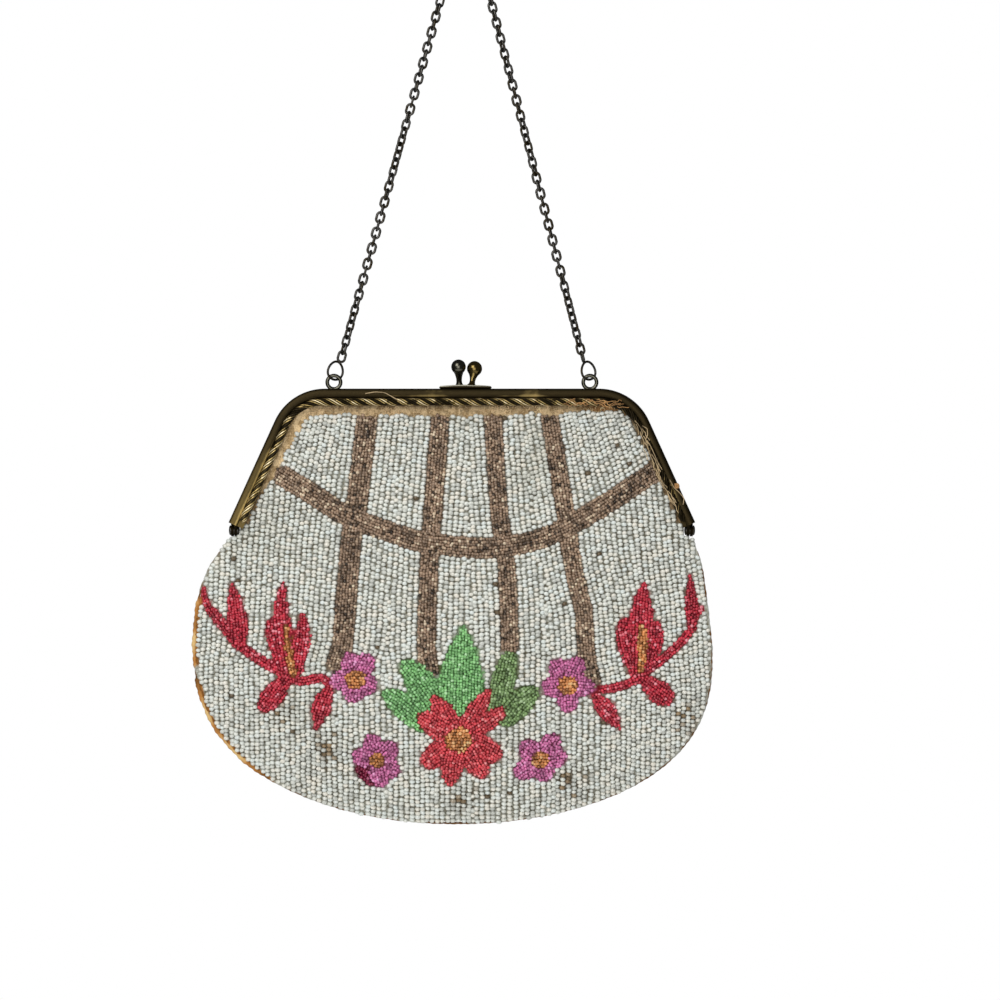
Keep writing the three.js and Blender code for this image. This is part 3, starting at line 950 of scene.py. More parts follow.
def cloth_spots():
    """A grid of places over one panel, edge to edge, closer together towards the edges."""
    part = np.linspace(0, 1, 118)
    lowest = pouch_bottom() - 0.9
    drop = CLOTH_TOP + (lowest - CLOTH_TOP) * (1 - (1 - part) ** 1.15)
    across = np.sin(np.linspace(-np.pi / 2, np.pi / 2, 124))
    left, right = pouch_reach(drop)
    x = (left + right)[:, None] / 2 + (right - left)[:, None] / 2 * across * 0.998
    return x, np.broadcast_to(drop[:, None], x.shape)


def cloth_part(side):
    """One panel's ground cloth: a thin closed sheet just under the beads."""
    sizes = settings().pouch
    x, drop = cloth_spots()
    thick = mm(sizes.cloth)
    forward = np.maximum(pouch_forward(x, drop) - mm(sizes.cloth_under), 0.1 + thick)
    outer = in_frame(points_of(x, -side * forward, -drop))
    inner = in_frame(points_of(x, -side * (forward - thick), -drop))
    return shell(outer, inner)


def seam_part():
    """The seam's edge, with a tone that is high where rust-coloured thread shows.

    A ridged cord is carried round the pouch's outline from hinge to hinge.
    """
    radius = mm(settings().pouch.seam)
    start = 56.3
    count = 420
    sides = 10
    angle = np.linspace(0.03, math.pi - 0.03, count)
    drop = start + (pouch_bottom() - start) * np.sin(angle) ** 0.9
    left, right = pouch_reach(drop)
    x = np.where(angle < math.pi / 2, left, right)
    path = in_frame(points_of(x, 0.0, -drop))
    run = run_of(path)
    even = np.linspace(0, run[-1], count)
    path = at_run(path, run, even)
    rust = rusty(path[:, 0], -path[:, 2] - mm(settings().frame.hang))
    ridges = 0.16 * np.sin(even * 2 * np.pi / 2.6)
    lumps = ridges + 0.12 * np.sin(even * 0.9) + 0.14 * np.sin(even * 0.37 + 1) * rust
    ends = np.sqrt(np.clip(np.minimum(even, even[-1] - even) / 8, 0.02, 1))
    size = radius * (0.9 + lumps) * (0.6 + 0.5 * rust) * ends
    return tube(path, size, sides), np.repeat(rust, sides)


# The chart of the pattern, in steps to the right of the frame's middle and steps below its top edge

CHART_STEP = 0.375
Stroke = namedtuple("Stroke", "colour width base peak tip points")

STRIPS = (
    Stroke("brown", 21, 1, 0.5, 1, ((-92, 12), (-94, 24), (-101, 84), (-106, 125), (-110, 151), (-114, 200),
                                    (-118, 251), (-124, 273))),
    Stroke("brown", 19, 1, 0.5, 1, ((-20, 12), (-21, 24), (-27, 100), (-32, 171), (-35, 251), (-32, 279))),
    Stroke("brown", 18, 1, 0.5, 1, ((30, 12), (31, 29), (37, 117), (44, 171), (47, 220), (48, 256))),
    Stroke("brown", 18, 1, 0.5, 1, ((86, 12), (88, 31), (101, 108), (110, 171), (116, 200), (121, 221),
                                    (124, 263), (129, 290))),
)
BAND = Stroke("brown", 20, 1, 0.5, 1, ((-179, 87), (-174, 90), (-149, 105), (-123, 122), (-93, 135),
                                       (-65, 145), (-42, 152), (4, 158), (38, 158), (70, 152), (98, 141),
                                       (134, 121), (171, 97), (198, 79)))

SPRIGS = (
    Stroke("crimson", 10.5, 0.5, 0.3, 1, ((-259, 200), (-255, 215), (-245, 228), (-231, 245), (-219, 257),
                                      (-203, 269), (-187, 278), (-174, 284))),
    Stroke("crimson", 21, 0.8, 0.3, 0.15, ((-223, 252), (-224, 231), (-227, 211), (-229, 194))),
    Stroke("crimson", 18, 0.6, 0.6, 0.7, ((-171, 283), (-181, 261), (-187, 243), (-188, 234))),
    Stroke("crimson", 17, 0.55, 0.6, 0.35, ((-164, 285), (-161, 266), (-158, 246), (-158, 226))),
    Stroke("crimson", 20, 0.6, 0.5, 0.18, ((-170, 287), (-175, 266), (-179, 241), (-180, 216), (-178, 194))),
    Stroke("crimson", 22, 0.4, 0.65, 0.75, ((-173, 288), (-185, 302), (-196, 315))),
    Stroke("crimson", 8.5, 1, 0.5, 1, ((-168, 289), (-159, 291), (-148, 289), (-139, 288), (-131, 294))),
    Stroke("crimson", 18, 0.45, 0.45, 0.25, ((-131, 297), (-137, 311), (-142, 326), (-145, 338))),
    Stroke("amber", 7.5, 0.9, 0.5, 1, ((-175, 237), (-174, 251), (-171, 267), (-167, 284))),
    Stroke("crimson", 18, 0.6, 0.65, 0.8, ((173, 285), (167, 266), (162, 246), (162, 235))),
    Stroke("crimson", 18, 0.6, 0.6, 0.7, ((184, 281), (189, 263), (193, 246), (193, 236))),
    Stroke("crimson", 24, 0.6, 0.6, 0.14, ((178, 287), (178, 261), (179, 231), (180, 211), (182, 194))),
    Stroke("crimson", 9.5, 1, 0.5, 0.8, ((186, 279), (198, 271), (210, 261), (220, 251), (227, 242))),
    Stroke("crimson", 14, 0.6, 0.35, 0.2, ((230, 240), (230, 223), (229, 206), (228, 186))),
    Stroke("crimson", 11, 0.8, 0.5, 0.9, ((232, 222), (238, 220))),
    Stroke("crimson", 23, 0.4, 0.75, 0.85, ((181, 290), (192, 299), (203, 307))),
    Stroke("crimson", 8.5, 1, 0.5, 1, ((173, 290), (159, 296), (149, 298), (138, 300))),
    Stroke("crimson", 18.5, 0.5, 0.4, 0.2, ((133, 306), (142, 317), (151, 329), (157, 338))),
    Stroke("amber", 12, 0.7, 0.25, 0.45, ((179, 238), (180, 250), (179, 267), (178, 282))),
)
LEAVES = (
    Stroke("green", 30, 0.6, 0.5, 0.8, ((-53, 277), (-42, 290), (-27, 312))),
    Stroke("green", 26, 0.4, 0.55, 0.9, ((-75, 303), (-60, 313), (-40, 330))),
    Stroke("moss", 24, 0.7, 0.5, 0.9, ((47, 269), (42, 288), (36, 315))),
    Stroke("moss", 26, 0.5, 0.5, 0.8, ((71, 301), (60, 310), (46, 326))),
    Stroke("green", 46, 0.9, 0.25, 0.08, ((-1, 325), (-1, 305), (0, 279), (1, 256), (2, 236))),
)
RED_PETALS = (
    Stroke("red", 24, 0.6, 0.6, 0.5, ((-3, 349), (-16, 327), (-25, 310))),
    Stroke("red", 26, 0.6, 0.6, 0.75, ((-3, 349), (-22, 337), (-35, 329))),
    Stroke("red", 22, 0.75, 0.5, 0.08, ((-3, 349), (12, 326), (28, 298))),
    Stroke("red", 19, 0.95, 0.5, 0.75, ((-3, 349), (18, 336), (37, 323))),
    Stroke("red", 27, 0.6, 0.6, 0.75, ((-3, 349), (17, 356), (31, 363))),
    Stroke("red", 25, 0.6, 0.6, 0.65, ((-3, 349), (11, 367), (20, 381))),
    Stroke("red", 26, 0.6, 0.6, 0.8, ((-3, 349), (-19, 360), (-31, 369))),
    Stroke("red", 23, 0.6, 0.6, 0.6, ((-3, 349), (-9, 370), (-11, 389))),
)

Flower = namedtuple("Flower", "colour heart radius width tips")
FLOWERS = (
    Flower("pink", (-105, 289), 9.7, 21, ((-113, 262), (-91, 264), (-84, 299), (-109, 312), (-130, 291))),
    Flower("maroon", (-84, 370), 7.6, 20, ((-104, 386), (-93, 396))),
    Flower("pink", (-84, 370), 7.6, 20, ((-91, 343), (-66, 353), (-63, 384), (-79, 398), (-109, 364))),
    Flower("pink", (105, 295), 9.7, 21, ((91, 269), (118, 267), (132, 297), (106, 322), (79, 298))),
    Flower("pink", (78, 369), 8.7, 21, ((95, 344), (105, 366), (85, 391), (54, 386), (59, 352))),
    Flower("red", (-3, 349), 13, 23, ()),
)
PETAL_CAP = 0.36


def flower_strokes(flower):
    """A flower's petals, widest near their round tips, and then its round heart."""
    heart = np.array(flower.heart, float)
    strokes = []
    for tip in flower.tips:
        reach = np.array(tip, float) - heart
        shorter = 1 - PETAL_CAP * flower.width / np.linalg.norm(reach)
        points = (tuple(heart), tuple(heart + reach * shorter * 0.5), tuple(heart + reach * shorter))
        strokes.append(Stroke(flower.colour, flower.width, 0.5, 0.8, 2 * PETAL_CAP, points))
    low = (heart[0] - 0.5, heart[1])
    high = (heart[0] + 0.5, heart[1])
    strokes.append(Stroke("amber", 2 * flower.radius, 1, 0.5, 1, (low, high)))
    return strokes


def all_strokes():
    """Every stroke of the pattern, each one laid over those before it."""
    strokes = [*STRIPS, BAND, *LEAVES, *SPRIGS, *RED_PETALS]
    for flower in FLOWERS:
        strokes += flower_strokes(flower)
    return strokes


Line = namedtuple("Line", "colour spots half")


def drawn(stroke):
    """A stroke as closely set points with half widths, in millimetres.

    A smooth cubic goes through the chart's points. The half width rises from the base by a sine to its
    peak and falls by a cosine to the tip.
    """
    control = np.array(stroke.points, float) * CHART_STEP
    guard = np.concatenate([2 * control[:1] - control[1:2], control, 2 * control[-1:] - control[-2:-1]])
    at = np.linspace(0, len(control) - 1, 40 * len(control))
    index = np.minimum(at.astype(int), len(control) - 2)
    part = (at - index)[:, None]
    p0, p1, p2, p3 = guard[index], guard[index + 1], guard[index + 2], guard[index + 3]
    cubic = (2 * p1 + (p2 - p0) * part + (2 * p0 - 5 * p1 + 4 * p2 - p3) * part ** 2
             + (3 * p1 - p0 - 3 * p2 + p3) * part ** 3) / 2
    run = run_of(cubic)
    even = np.linspace(0, run[-1], max(8, int(run[-1] / 0.4)))
    spots = at_run(cubic, run, even)
    along = even / run[-1]
    rising = stroke.base + (1 - stroke.base) * np.sin(np.pi / 2 * np.minimum(1, along / stroke.peak))
    falling = np.cos(np.pi / 2 * np.clip((along - stroke.peak) / (1 - stroke.peak), 0, 1))
    form = np.where(along < stroke.peak, rising, stroke.tip + (1 - stroke.tip) * falling)
    return Line(stroke.colour, spots, stroke.width * CHART_STEP / 2 * form)


# A distance past everything, and a fine grid over the panel: its step, its left edge, its rows and columns
FAR = 1000.0
GRID = 0.25
GRID_LEFT = -106.0
GRID_SHAPE = (668, 824)


def grid_places():
    """The grid's places: to the right of the frame's middle, and below its top edge."""
    return np.meshgrid(GRID_LEFT + GRID * np.arange(GRID_SHAPE[1]), GRID * np.arange(GRID_SHAPE[0]))


def outside(line, x, drop):
    """Distance of points outside a stroke, negative inside: the least distance to its discs."""
    reach = line.half.max() + 6
    low = line.spots.min(axis=0) - reach
    high = line.spots.max(axis=0) + reach
    near = np.flatnonzero((x > low[0]) & (x < high[0]) & (drop > low[1]) & (drop < high[1]))
    distance = np.full(len(x), FAR)
    for part in np.array_split(near, 1 + len(near) // 20000):
        gap = np.hypot(x[part, None] - line.spots[:, 0], drop[part, None] - line.spots[:, 1])
        distance[part] = (gap - line.half).min(axis=1)
    return distance


Chart = namedtuple("Chart", "distance top")


def chart_of(lines):
    """The pattern on a fine grid: the distance outside all strokes, and which stroke lies uppermost."""
    x, drop = grid_places()
    distance = np.full(x.size, FAR)
    top = np.full(x.size, -1)
    for index, line in enumerate(lines):
        one = outside(line, x.ravel(), drop.ravel())
        distance = np.minimum(distance, one)
        top[one < 0] = index
    return Chart(distance.reshape(GRID_SHAPE), top.reshape(GRID_SHAPE))


def on_grid(x, drop):
    """Row and column of the grid's nearest spot to each place."""
    row = np.clip(np.round(drop / GRID).astype(int), 0, GRID_SHAPE[0] - 1)
    column = np.clip(np.round((x - GRID_LEFT) / GRID).astype(int), 0, GRID_SHAPE[1] - 1)
    return row, column


Beads = namedtuple("Beads", "x drop lean")


def strung(spots, pitch, phase):
    """Beads set a pitch apart along a line of points, with the lean of the line at each."""
    run = run_of(spots)
    step = 0.3
    at = np.arange(phase * pitch, run[-1], pitch)
    x, drop = at_run(spots, run, at).T
    ahead_x, ahead_drop = (at_run(spots, run, at + step) - at_run(spots, run, at - step)).T
    return Beads(x, drop, np.arctan2(ahead_x, ahead_drop))


def together(groups):
    return Beads(*(np.concatenate(column) for column in zip(*groups)))


def chosen(beads, keep):
    return Beads(beads.x[keep], beads.drop[keep], beads.lean[keep])


def rusty(x, drop):
    """How much of the seam's rust-coloured thread shows: all of it low on the left, but for a short gap."""
    low = smoothstep(drop, 77, 80) * (1 - smoothstep(drop, 143, 149))
    gap = smoothstep(drop, 103.5, 105) * (1 - smoothstep(drop, 108, 109.5))
    return np.where(x < 0, low * (1 - gap), 0)


# Bare cloth between the frame's outer edge and the beads: along the top, down the left and down the right
BARE_PLACES = (-60, 0, 30, 58)
BARE_TOP = (10.0, 10.7, 9.8, 8.6)
BARE_DROPS = (20, 38, 50)
BARE_LEFT = (9.6, 7.5, 6.9)
BARE_RIGHT = 5.9

# The drop where the bare flanks end, and how far in the rust-coloured thread keeps the beads
BARE_END = 51
RUST_WIDE = 0.7


def in_panel(x, drop, edge):
    """True inside the pouch's edge and below the bare margin along the frame."""
    left, right = pouch_reach(drop)
    first = left + edge + RUST_WIDE * rusty(x, drop)
    inside = (x > first) & (x < right - edge) & (drop < pouch_bottom() - edge)
    bare = np.interp(x, BARE_PLACES, BARE_TOP) + 0.35 * np.sin(x * 0.9) + 0.3 * np.sin(x * 0.37 + 1.3)
    inset = np.where(x < 0, np.interp(drop, BARE_DROPS, BARE_LEFT), BARE_RIGHT)
    flank = frame_half(drop, inset) + 0.3 * np.sin(drop * 1.1)
    held = np.abs(x) < np.where(drop < BARE_END, flank, FAR)
    return inside & held & (drop > bare)


def nearest(beads, reach):
    """Distance from each spot of the grid to the nearest bead, as far as a reach."""
    span = np.arange(-int(reach / GRID), int(reach / GRID) + 1)
    row, column = on_grid(beads.x, beads.drop)
    rows, columns = np.broadcast_arrays(row[:, None, None] + span[:, None], column[:, None, None] + span)
    beside = columns * GRID + GRID_LEFT - beads.x[:, None, None]
    gap = np.hypot(beside, rows * GRID - beads.drop[:, None, None])
    held = (rows >= 0) & (rows < GRID_SHAPE[0]) & (columns >= 0) & (columns < GRID_SHAPE[1])
    field = np.full(GRID_SHAPE, float(reach))
    np.minimum.at(field, (rows[held], columns[held]), gap[held])
    return field


def hole_beads(beads, allowed, gap, random):
    """Beads for the holes: the allowed spot farthest from all beads, again and again down to a gap."""
    span = int(gap / GRID) + 3
    field = np.where(allowed, nearest(beads, gap + 0.5), 0.0)
    spots = []
    while field.max() >= gap:
        row, column = np.unravel_index(field.argmax(), GRID_SHAPE)
        spots.append((row, column))
        rows = slice(max(0, row - span), row + span + 1)
        columns = slice(max(0, column - span), column + span + 1)
        i, j = np.ogrid[rows, columns]
        patch = field[rows, columns]
        distance = GRID * np.hypot(i[:patch.shape[0]] - row, j[:, :patch.shape[1]] - column)
        field[rows, columns] = np.minimum(patch, distance)
    found = np.array(spots, float).reshape(-1, 2)
    return Beads(found[:, 1] * GRID + GRID_LEFT, found[:, 0] * GRID, random.normal(0, 0.3, len(found)))


def edge_at(line, hand, drop):
    """A strip's left or right edge at some drops; past the strip's ends it goes straight on down."""
    slope = np.gradient(line.spots[:, 0], line.spots[:, 1])
    return np.interp(drop, line.spots[:, 1], line.spots[:, 0] + hand * line.half * np.sqrt(1 + slope ** 2))


# Columns past the outer strips: the drops over and under the band where they are one width apart, the lean
# that each adds over the band, and how many there are on each side
FAN_DROP = 27.0
UNDER_DROP = 70.0
FAN_STEP = 0.017
FAN_COUNT = 46


def column_lines(strips, drop):
    """Lines of white columns down the panel, and where each one is in use.

    Beside a strip a column keeps its distance from it. Between two strips new columns start in the middle
    where the cell has grown wide enough. Past the outer strips columns fan out over the band, and under
    it they lean less the farther out they are. Under a strip's end columns go straight down.
    """
    width = mm(settings().beads.column)
    edges = [(edge_at(strip, -1, drop), edge_at(strip, 1, drop)) for strip in strips]
    band = drawn(BAND).spots
    lines = []
    for left, right in edges:
        count = round((right - left).mean() / width)
        for k in range(count):
            lines.append((left + (right - left) * (k + 0.5) / count, drop > 0))
    for (_, left), (right, _) in zip(edges, edges[1:]):
        count = np.floor((right - left) / width + 0.12)
        for k in range(int(np.ceil(count.max() / 2))):
            lines.append((left + (k + 0.5) * width, k < np.ceil(count / 2)))
            lines.append((right - (k + 0.5) * width, k < np.floor(count / 2)))
    for hand, edge in ((-1, edges[0][0]), (1, edges[-1][1])):
        above, start, below = np.interp([FAN_DROP - 10, FAN_DROP, FAN_DROP + 10], drop, edge)
        lean_first = (below - above) / 20
        middle = np.interp(UNDER_DROP, drop, edge)
        for k in range(FAN_COUNT):
            off = hand * (k + 0.5) * width
            fan = start + off + (lean_first + hand * FAN_STEP * k) * (drop - FAN_DROP)
            lines.append((fan, drop < np.interp(fan, band[:, 0], band[:, 1])))
            under = middle + off + (edge - middle) * max(0.4, 1 - 0.025 * k)
            lines.append((under, drop >= np.interp(under, band[:, 0], band[:, 1])))
    return lines


def run_beads(x, drop, free, random):
    """Beads spread evenly along each unbroken run of a column, from one end of the run to the other."""
    pitch = mm(settings().beads.row)
    ends = np.flatnonzero(np.diff(np.concatenate([[0], free.astype(int), [0]])))
    at = [np.empty(0)]
    for first, last in ends.reshape(-1, 2):
        low = drop[first]
        high = drop[last - 1]
        count = int((high - low) / pitch + 0.25) + 1
        at.append(np.linspace(low, high, count) if count > 1 else np.array([(low + high) / 2]))
    at = np.concatenate(at)
    turn = np.interp(at, drop, np.arctan(np.gradient(x, drop)))
    start = random.uniform(0, 2 * np.pi, 2)
    sway = 0.11 * np.sin(at / 3.3 + start[0]) + 0.09 * np.sin(at / 1.4 + start[1])
    spread = random.normal(0, 0.13, (2, len(at)))
    return Beads(np.interp(at, drop, x) + sway + spread[0], at + spread[1], turn)


# How far the middles of beads keep from a stroke's outline and from the pouch's edge, in rows and in holes
Room = namedtuple("Room", "outline edge")
WHITE_ROWS = Room(0.78, 0.7)
WHITE_HOLES = Room(0.72, 0.65)
CUT_ROWS = Room(0.38, 1.0)
CUT_HOLES = Room(0.36, 0.9)
BACK_EDGE = 1.0

# How far a hole's middle is at least from the middles of the beads about it
WHITE_GAP = 1.42
CUT_GAP = 0.92


def column_drops():
    """Closely set drops down a panel."""
    return np.arange(5.0, pouch_bottom(), 0.15)


def white_beads(chart, random):
    """The white ground: columns cut off at the strokes, and single beads in the holes that are left."""
    strips = [drawn(strip) for strip in STRIPS]
    drop = column_drops()
    groups = []
    for x, used in column_lines(strips, drop):
        clear = chart.distance[on_grid(x, drop)] > WHITE_ROWS.outline
        groups.append(run_beads(x, drop, used & clear & in_panel(x, drop, WHITE_ROWS.edge), random))
    beads = together(groups)
    allowed = (chart.distance > WHITE_HOLES.outline) & in_panel(*grid_places(), WHITE_HOLES.edge)
    return together([beads, hole_beads(beads, allowed, WHITE_GAP, random)])


def back_beads(random):
    """Plain upright columns for the panel that faces away."""
    drop = column_drops()
    groups = []
    for k in range(-52, 50):
        x = (k + 0.5) * mm(settings().beads.column) + 0.2 * np.sin(drop * 0.11 + k * 0.3)
        groups.append(run_beads(x, drop, in_panel(x, drop, BACK_EDGE), random))
    return together(groups)


def stroke_beads(line, random):
    """The beads that fill a stroke: lines side by side along it, cut off at its outline."""
    sizes = settings().beads
    along = unit(np.gradient(line.spots, axis=0))
    normal = np.stack([along[:, 1], -along[:, 0]], axis=1)
    first = line.spots[:1] - along[:1] * line.half[0]
    last = line.spots[-1:] + along[-1:] * line.half[-1]
    spots = np.concatenate([first, line.spots, last])
    normal = np.concatenate([normal[:1], normal, normal[-1:]])
    spacing = mm(sizes.line)
    count = max(1, round(2 * line.half.max() / spacing))
    groups = []
    for k in range(count):
        offset = (k - (count - 1) / 2) * spacing
        groups.append(strung(spots + normal * offset, mm(sizes.step), random.uniform()))
    beads = together(groups)
    return chosen(beads, outside(line, beads.x, beads.drop) < -CUT_ROWS.outline)


def coloured_beads(lines, chart, random):
    """The beads of every stroke where it lies uppermost, and beads in the holes left over, by colour."""
    groups = []
    names = []
    for index, line in enumerate(lines):
        beads = stroke_beads(line, random)
        upper = chart.top[on_grid(beads.x, beads.drop)] == index
        keep = upper & in_panel(beads.x, beads.drop, CUT_ROWS.edge)
        groups.append(chosen(beads, keep))
        names += [line.colour] * int(keep.sum())
    beads = together(groups)
    allowed = (chart.distance < -CUT_HOLES.outline) & in_panel(*grid_places(), CUT_HOLES.edge)
    holes = hole_beads(beads, allowed, CUT_GAP, random)
    names += [lines[index].colour for index in chart.top[on_grid(holes.x, holes.drop)]]
    beads = together([beads, holes])
    stray = random.normal(0, 0.13, (2, len(beads.x)))
    beads = Beads(beads.x + stray[0], beads.drop + stray[1], beads.lean)
    names = np.array(names)
    return {name: chosen(beads, names == name) for name in dict.fromkeys(names.tolist())}


# A bead's sides, its rings' places along it and their widths as shares, and how much it strays
BeadForm = namedtuple("BeadForm", "sides run out stray")
WHITE_FORM = BeadForm(6, (-0.5, -0.2, 0.2, 0.5), (0.42, 1.0, 1.0, 0.42), 0.2)
PLAIN_FORM = BeadForm(6, (-0.5, 0.0, 0.5), (0.66, 1.08, 0.66), 0.1)
CUT_FORM = BeadForm(5, (-0.5, 0.0, 0.5), (0.7, 1.06, 0.7), 0.42)


def cloth_shades(chart=None, lines=()):
    """The cloth's colour at its places: tan where it is bare, and painted shade under the beads: grey under
    white beads, and a stroke's colour made darker under it.

    The bare margin turns orange-brown at the right corner and low on the frame's flanks, is painted lighter
    at the left corner, and a painted shadow darkens it along the edging. Rust-coloured thread shows low
    on the left.
    """
    values = settings().finishes
    x, drop = cloth_spots()
    shade = np.empty((*x.shape, 4))
    shade[:] = flat(values.cloth)
    rgb = shade[:, :, :3]
    orange = 0.28 * smoothstep(drop, 30, 46) + 0.7 * smoothstep(x, 40, 52) * (1 - smoothstep(drop, 9, 14))
    rgb += (np.array(values.thread) - rgb) * orange[:, :, None]
    # Painted light: the cloth is made lighter at the left corner, against the frame's shade there
    pale = 0.4 * smoothstep(-x, 46, 58) * (1 - smoothstep(drop, 30, 40))
    rgb *= 1 + pale[:, :, None]
    # Painted shadow: the cloth is darker along the edging, where the rope shades it
    under = 1 - smoothstep(np.minimum(drop, frame_half(drop, 0) - np.abs(x)), 6.2, 7.2)
    rgb *= 1 - 0.5 * under[:, :, None]
    # Painted shade: grey cloth under the white beads stands for the shade in the gaps between them
    beaded = in_panel(x, drop, -5)
    shade[beaded] = flat(values.shadow)
    soil = 0.8 * soiled(x, drop)[:, :, None]
    rgb += (np.array(scaled(values.stain, 0.6)) - rgb) * soil
    shade[(rusty(x, drop) > 0.5) & (x < pouch_reach(drop)[0] + 1.6)] = flat(values.thread)
    # Painted shade: under a stroke the cloth takes its beads' colour, darker, for the gaps between them
    if chart:
        top = chart.top[on_grid(x, drop)]
        for index, line in enumerate(lines):
            shade[beaded & (top == index)] = flat(scaled(getattr(values, line.colour), 0.8))
    inner = np.tile(np.array(flat(values.cloth)), (x.size, 1))
    return np.concatenate([shade.reshape(-1, 4), inner])


def bead_part(beads, side, form, radius, size, random):
    """All the beads of a group as one mesh.

    A bead is turned about its thread: rings of points on a rounded profile, closed at both ends.
    """
    count = len(beads.x)
    place, normal, right, down = panel_places(beads.x, beads.drop, side, mm(settings().beads.sunk))
    lean_now = beads.lean + random.normal(0, form.stray, count)
    thread = unit(right * np.sin(lean_now)[:, None] + down * np.cos(lean_now)[:, None])
    thread = unit(thread + normal * random.normal(0, 0.08, count)[:, None])
    across = unit(np.cross(thread, normal))
    upright = np.cross(across, thread)
    place = place + normal * random.normal(0, 0.06 + 0.12 * form.stray, count)[:, None]
    grown = random.normal(1, 0.03 + 0.15 * form.stray, count)
    run = np.array(form.run)[:, None] * size
    out = np.array(form.out)[:, None] * radius
    turn = full_turn(form.sides)
    bead = ringed(points_of(run, out * np.cos(turn), out * np.sin(turn)))
    axes = np.stack([thread, across, upright], axis=1) * grown[:, None, None]
    return copied(bead, place, axes)


# How dark a colour's darkest beads are, the display colour of its palest beads, which are painted glints,
# and how much deep patches show
Glint = namedtuple("Glint", "dark pale patch")
GLINTS = {
    "brown": Glint(0.1, (222, 204, 176), 0.9),
    "red": Glint(0.5, (232, 146, 146), 0.5),
    "crimson": Glint(0.4, (238, 160, 170), 0.75),
    "pink": Glint(0.5, (230, 164, 204), 0.5),
    "maroon": Glint(0.3, (186, 112, 140), 0.7),
    "green": Glint(0.55, (180, 222, 170), 0.6),
    "moss": Glint(0.4, (172, 196, 150), 0.7),
    "amber": Glint(0.3, (228, 196, 144), 0.7),
}

# Share of white beads that are all but black
DARK_SHARE = 0.003

Stain = namedtuple("Stain", "x drop size")
STAINS = (Stain(-51, 135, 8), Stain(-66, 122, 6), Stain(0, 154, 6), Stain(84, 124, 6), Stain(40, 147, 7))


def soiled(x, drop):
    """How soiled each place is: the sum of soft round stains."""
    total = np.zeros(np.shape(x))
    for stain in STAINS:
        total += np.exp(-((x - stain.x) ** 2 + (drop - stain.drop) ** 2) / stain.size ** 2)
    return np.minimum(total, 1)


def thread_part(spots, radius=0.15, steps=24, sides=6):
    """A loose end of thread: a thin tube along a bent line of points, with its corners eased."""
    control = np.array(spots, float)
    path = at_run(control, np.arange(len(control)), np.linspace(0, len(control) - 1, steps))
    path[1:-1] = (path[:-2] + 2 * path[1:-1] + path[2:]) / 4
    return tube(in_frame(path), radius, sides, beside=(0.2, 1, 0.1))


def frayed_threads(random):
    """Short wavy ends at the right corner, which lie over the edging in all directions."""
    parts = []
    count = 6
    step = np.linspace(0, 1, count)
    for start in np.linspace(38, 58, 22):
        turn = random.normal(0.15, 0.5)
        size = random.uniform(2.5, 5.0)
        x = start + size * step * math.cos(turn)
        highest = 4.0 + 0.16 * max(0, start - 52)
        drop = highest + random.uniform(0, 2.4) + size * step * math.sin(turn) * 0.5
        drop = np.maximum(drop + random.normal(0, 0.25, count), 3.8)
        depth = -5.3 + random.normal(0, 0.1, count)
        parts.append(thread_part(points_of(x, depth, -drop), 0.13))
    return parts


def fuzz_threads(random):
    """Short curled ends on the bare cloth under the top edging: arcs in all directions, close to it."""
    parts = []
    above = mm(settings().pouch.cloth_under) - 0.15
    for start in np.linspace(-58, 58, 260):
        turn = random.uniform(0, 2 * math.pi) + np.linspace(0, random.uniform(1, 4), 7)
        step = random.uniform(0.2, 0.4)
        x = start + step * np.cumsum(np.cos(turn))
        drop = np.clip(random.uniform(6.4, 9.8) + step * np.cumsum(np.sin(turn)), 6.2, 10.6)
        spots = points_of(x, above - pouch_forward(x, drop), -drop)
        parts.append(thread_part(spots, 0.12, 12, 4))
    return parts


def flank_threads(random):
    """Loose strands that lie down the right arm, along the inner side of its edging."""
    parts = []
    count = 6
    for start in np.linspace(12, 41, 22):
        drop = start + np.linspace(0, random.uniform(3, 7), count)
        inset = random.uniform(4.0, 5.8) + np.cumsum(random.normal(0, 0.25, count))
        depth = -5.1 + random.normal(0, 0.12, count)
        parts.append(thread_part(points_of(frame_half(drop, inset), depth, -drop)))
    return parts


# Ends of thread, each by its points to the right of the frame's middle, along the depth, and upwards
LOOSE_THREADS = (
    ((-36, -5, -1.9), (-32.5, -5.2, -1.3), (-28.9, -5.2, -1.5), (-25.5, -5.4, -3.4), (-22.9, -5, -4.9)),
    ((69, -5.2, -19.3), (70.2, -5.4, -21), (71.6, -5.4, -24), (73.1, -5.4, -27.4), (74.8, -5, -30.4)),
    ((67.4, -5, -13.9), (69.2, -5.3, -15), (69.4, -5.4, -17.4), (68.6, -5.4, -19), (69.6, -5, -21.2)),
    ((77.6, -4.8, -34), (79.2, -5.3, -37), (81, -5.2, -38.6), (83, -5.2, -41), (82.6, -5, -43.4)),
)


# A small knot of frayed thread on the right arm, by the same measures
KNOT = ((79.5, -5.1, -36.0), (80.6, -5.5, -35.8), (80.9, -5.5, -36.8), (79.9, -5.7, -37.0),
        (79.8, -5.7, -36.1))


# The camera's place and the place that the lamps point at in metres, and its lens and sensor in millimetres
CAMERA_PLACE = (0.01275, -1.2, -0.2095)
LAMP_TARGET = (0, 0, -0.24)
LENS = 115.2
SENSOR = 36


# Soft lamps: places and sizes in metres, powers in watts, and whether the metal and glass mirror them
Lamp = namedtuple("Lamp", "name place size power mirrored")
LAMPS = (
    Lamp("key", (-0.5, -0.9, 0.4), 0.7, 6.3, True),
    Lamp("front", (-0.1, -1.35, -0.3), 0.9, 5.6, True),
    Lamp("fill", (0.9, -0.8, 0.0), 0.9, 0.8, False),
    Lamp("top", (0.0, -0.1, 0.7), 0.8, 4.0, False),
    Lamp("behind", (0.2, 1.0, 0.3), 0.9, 8.0, False),
)


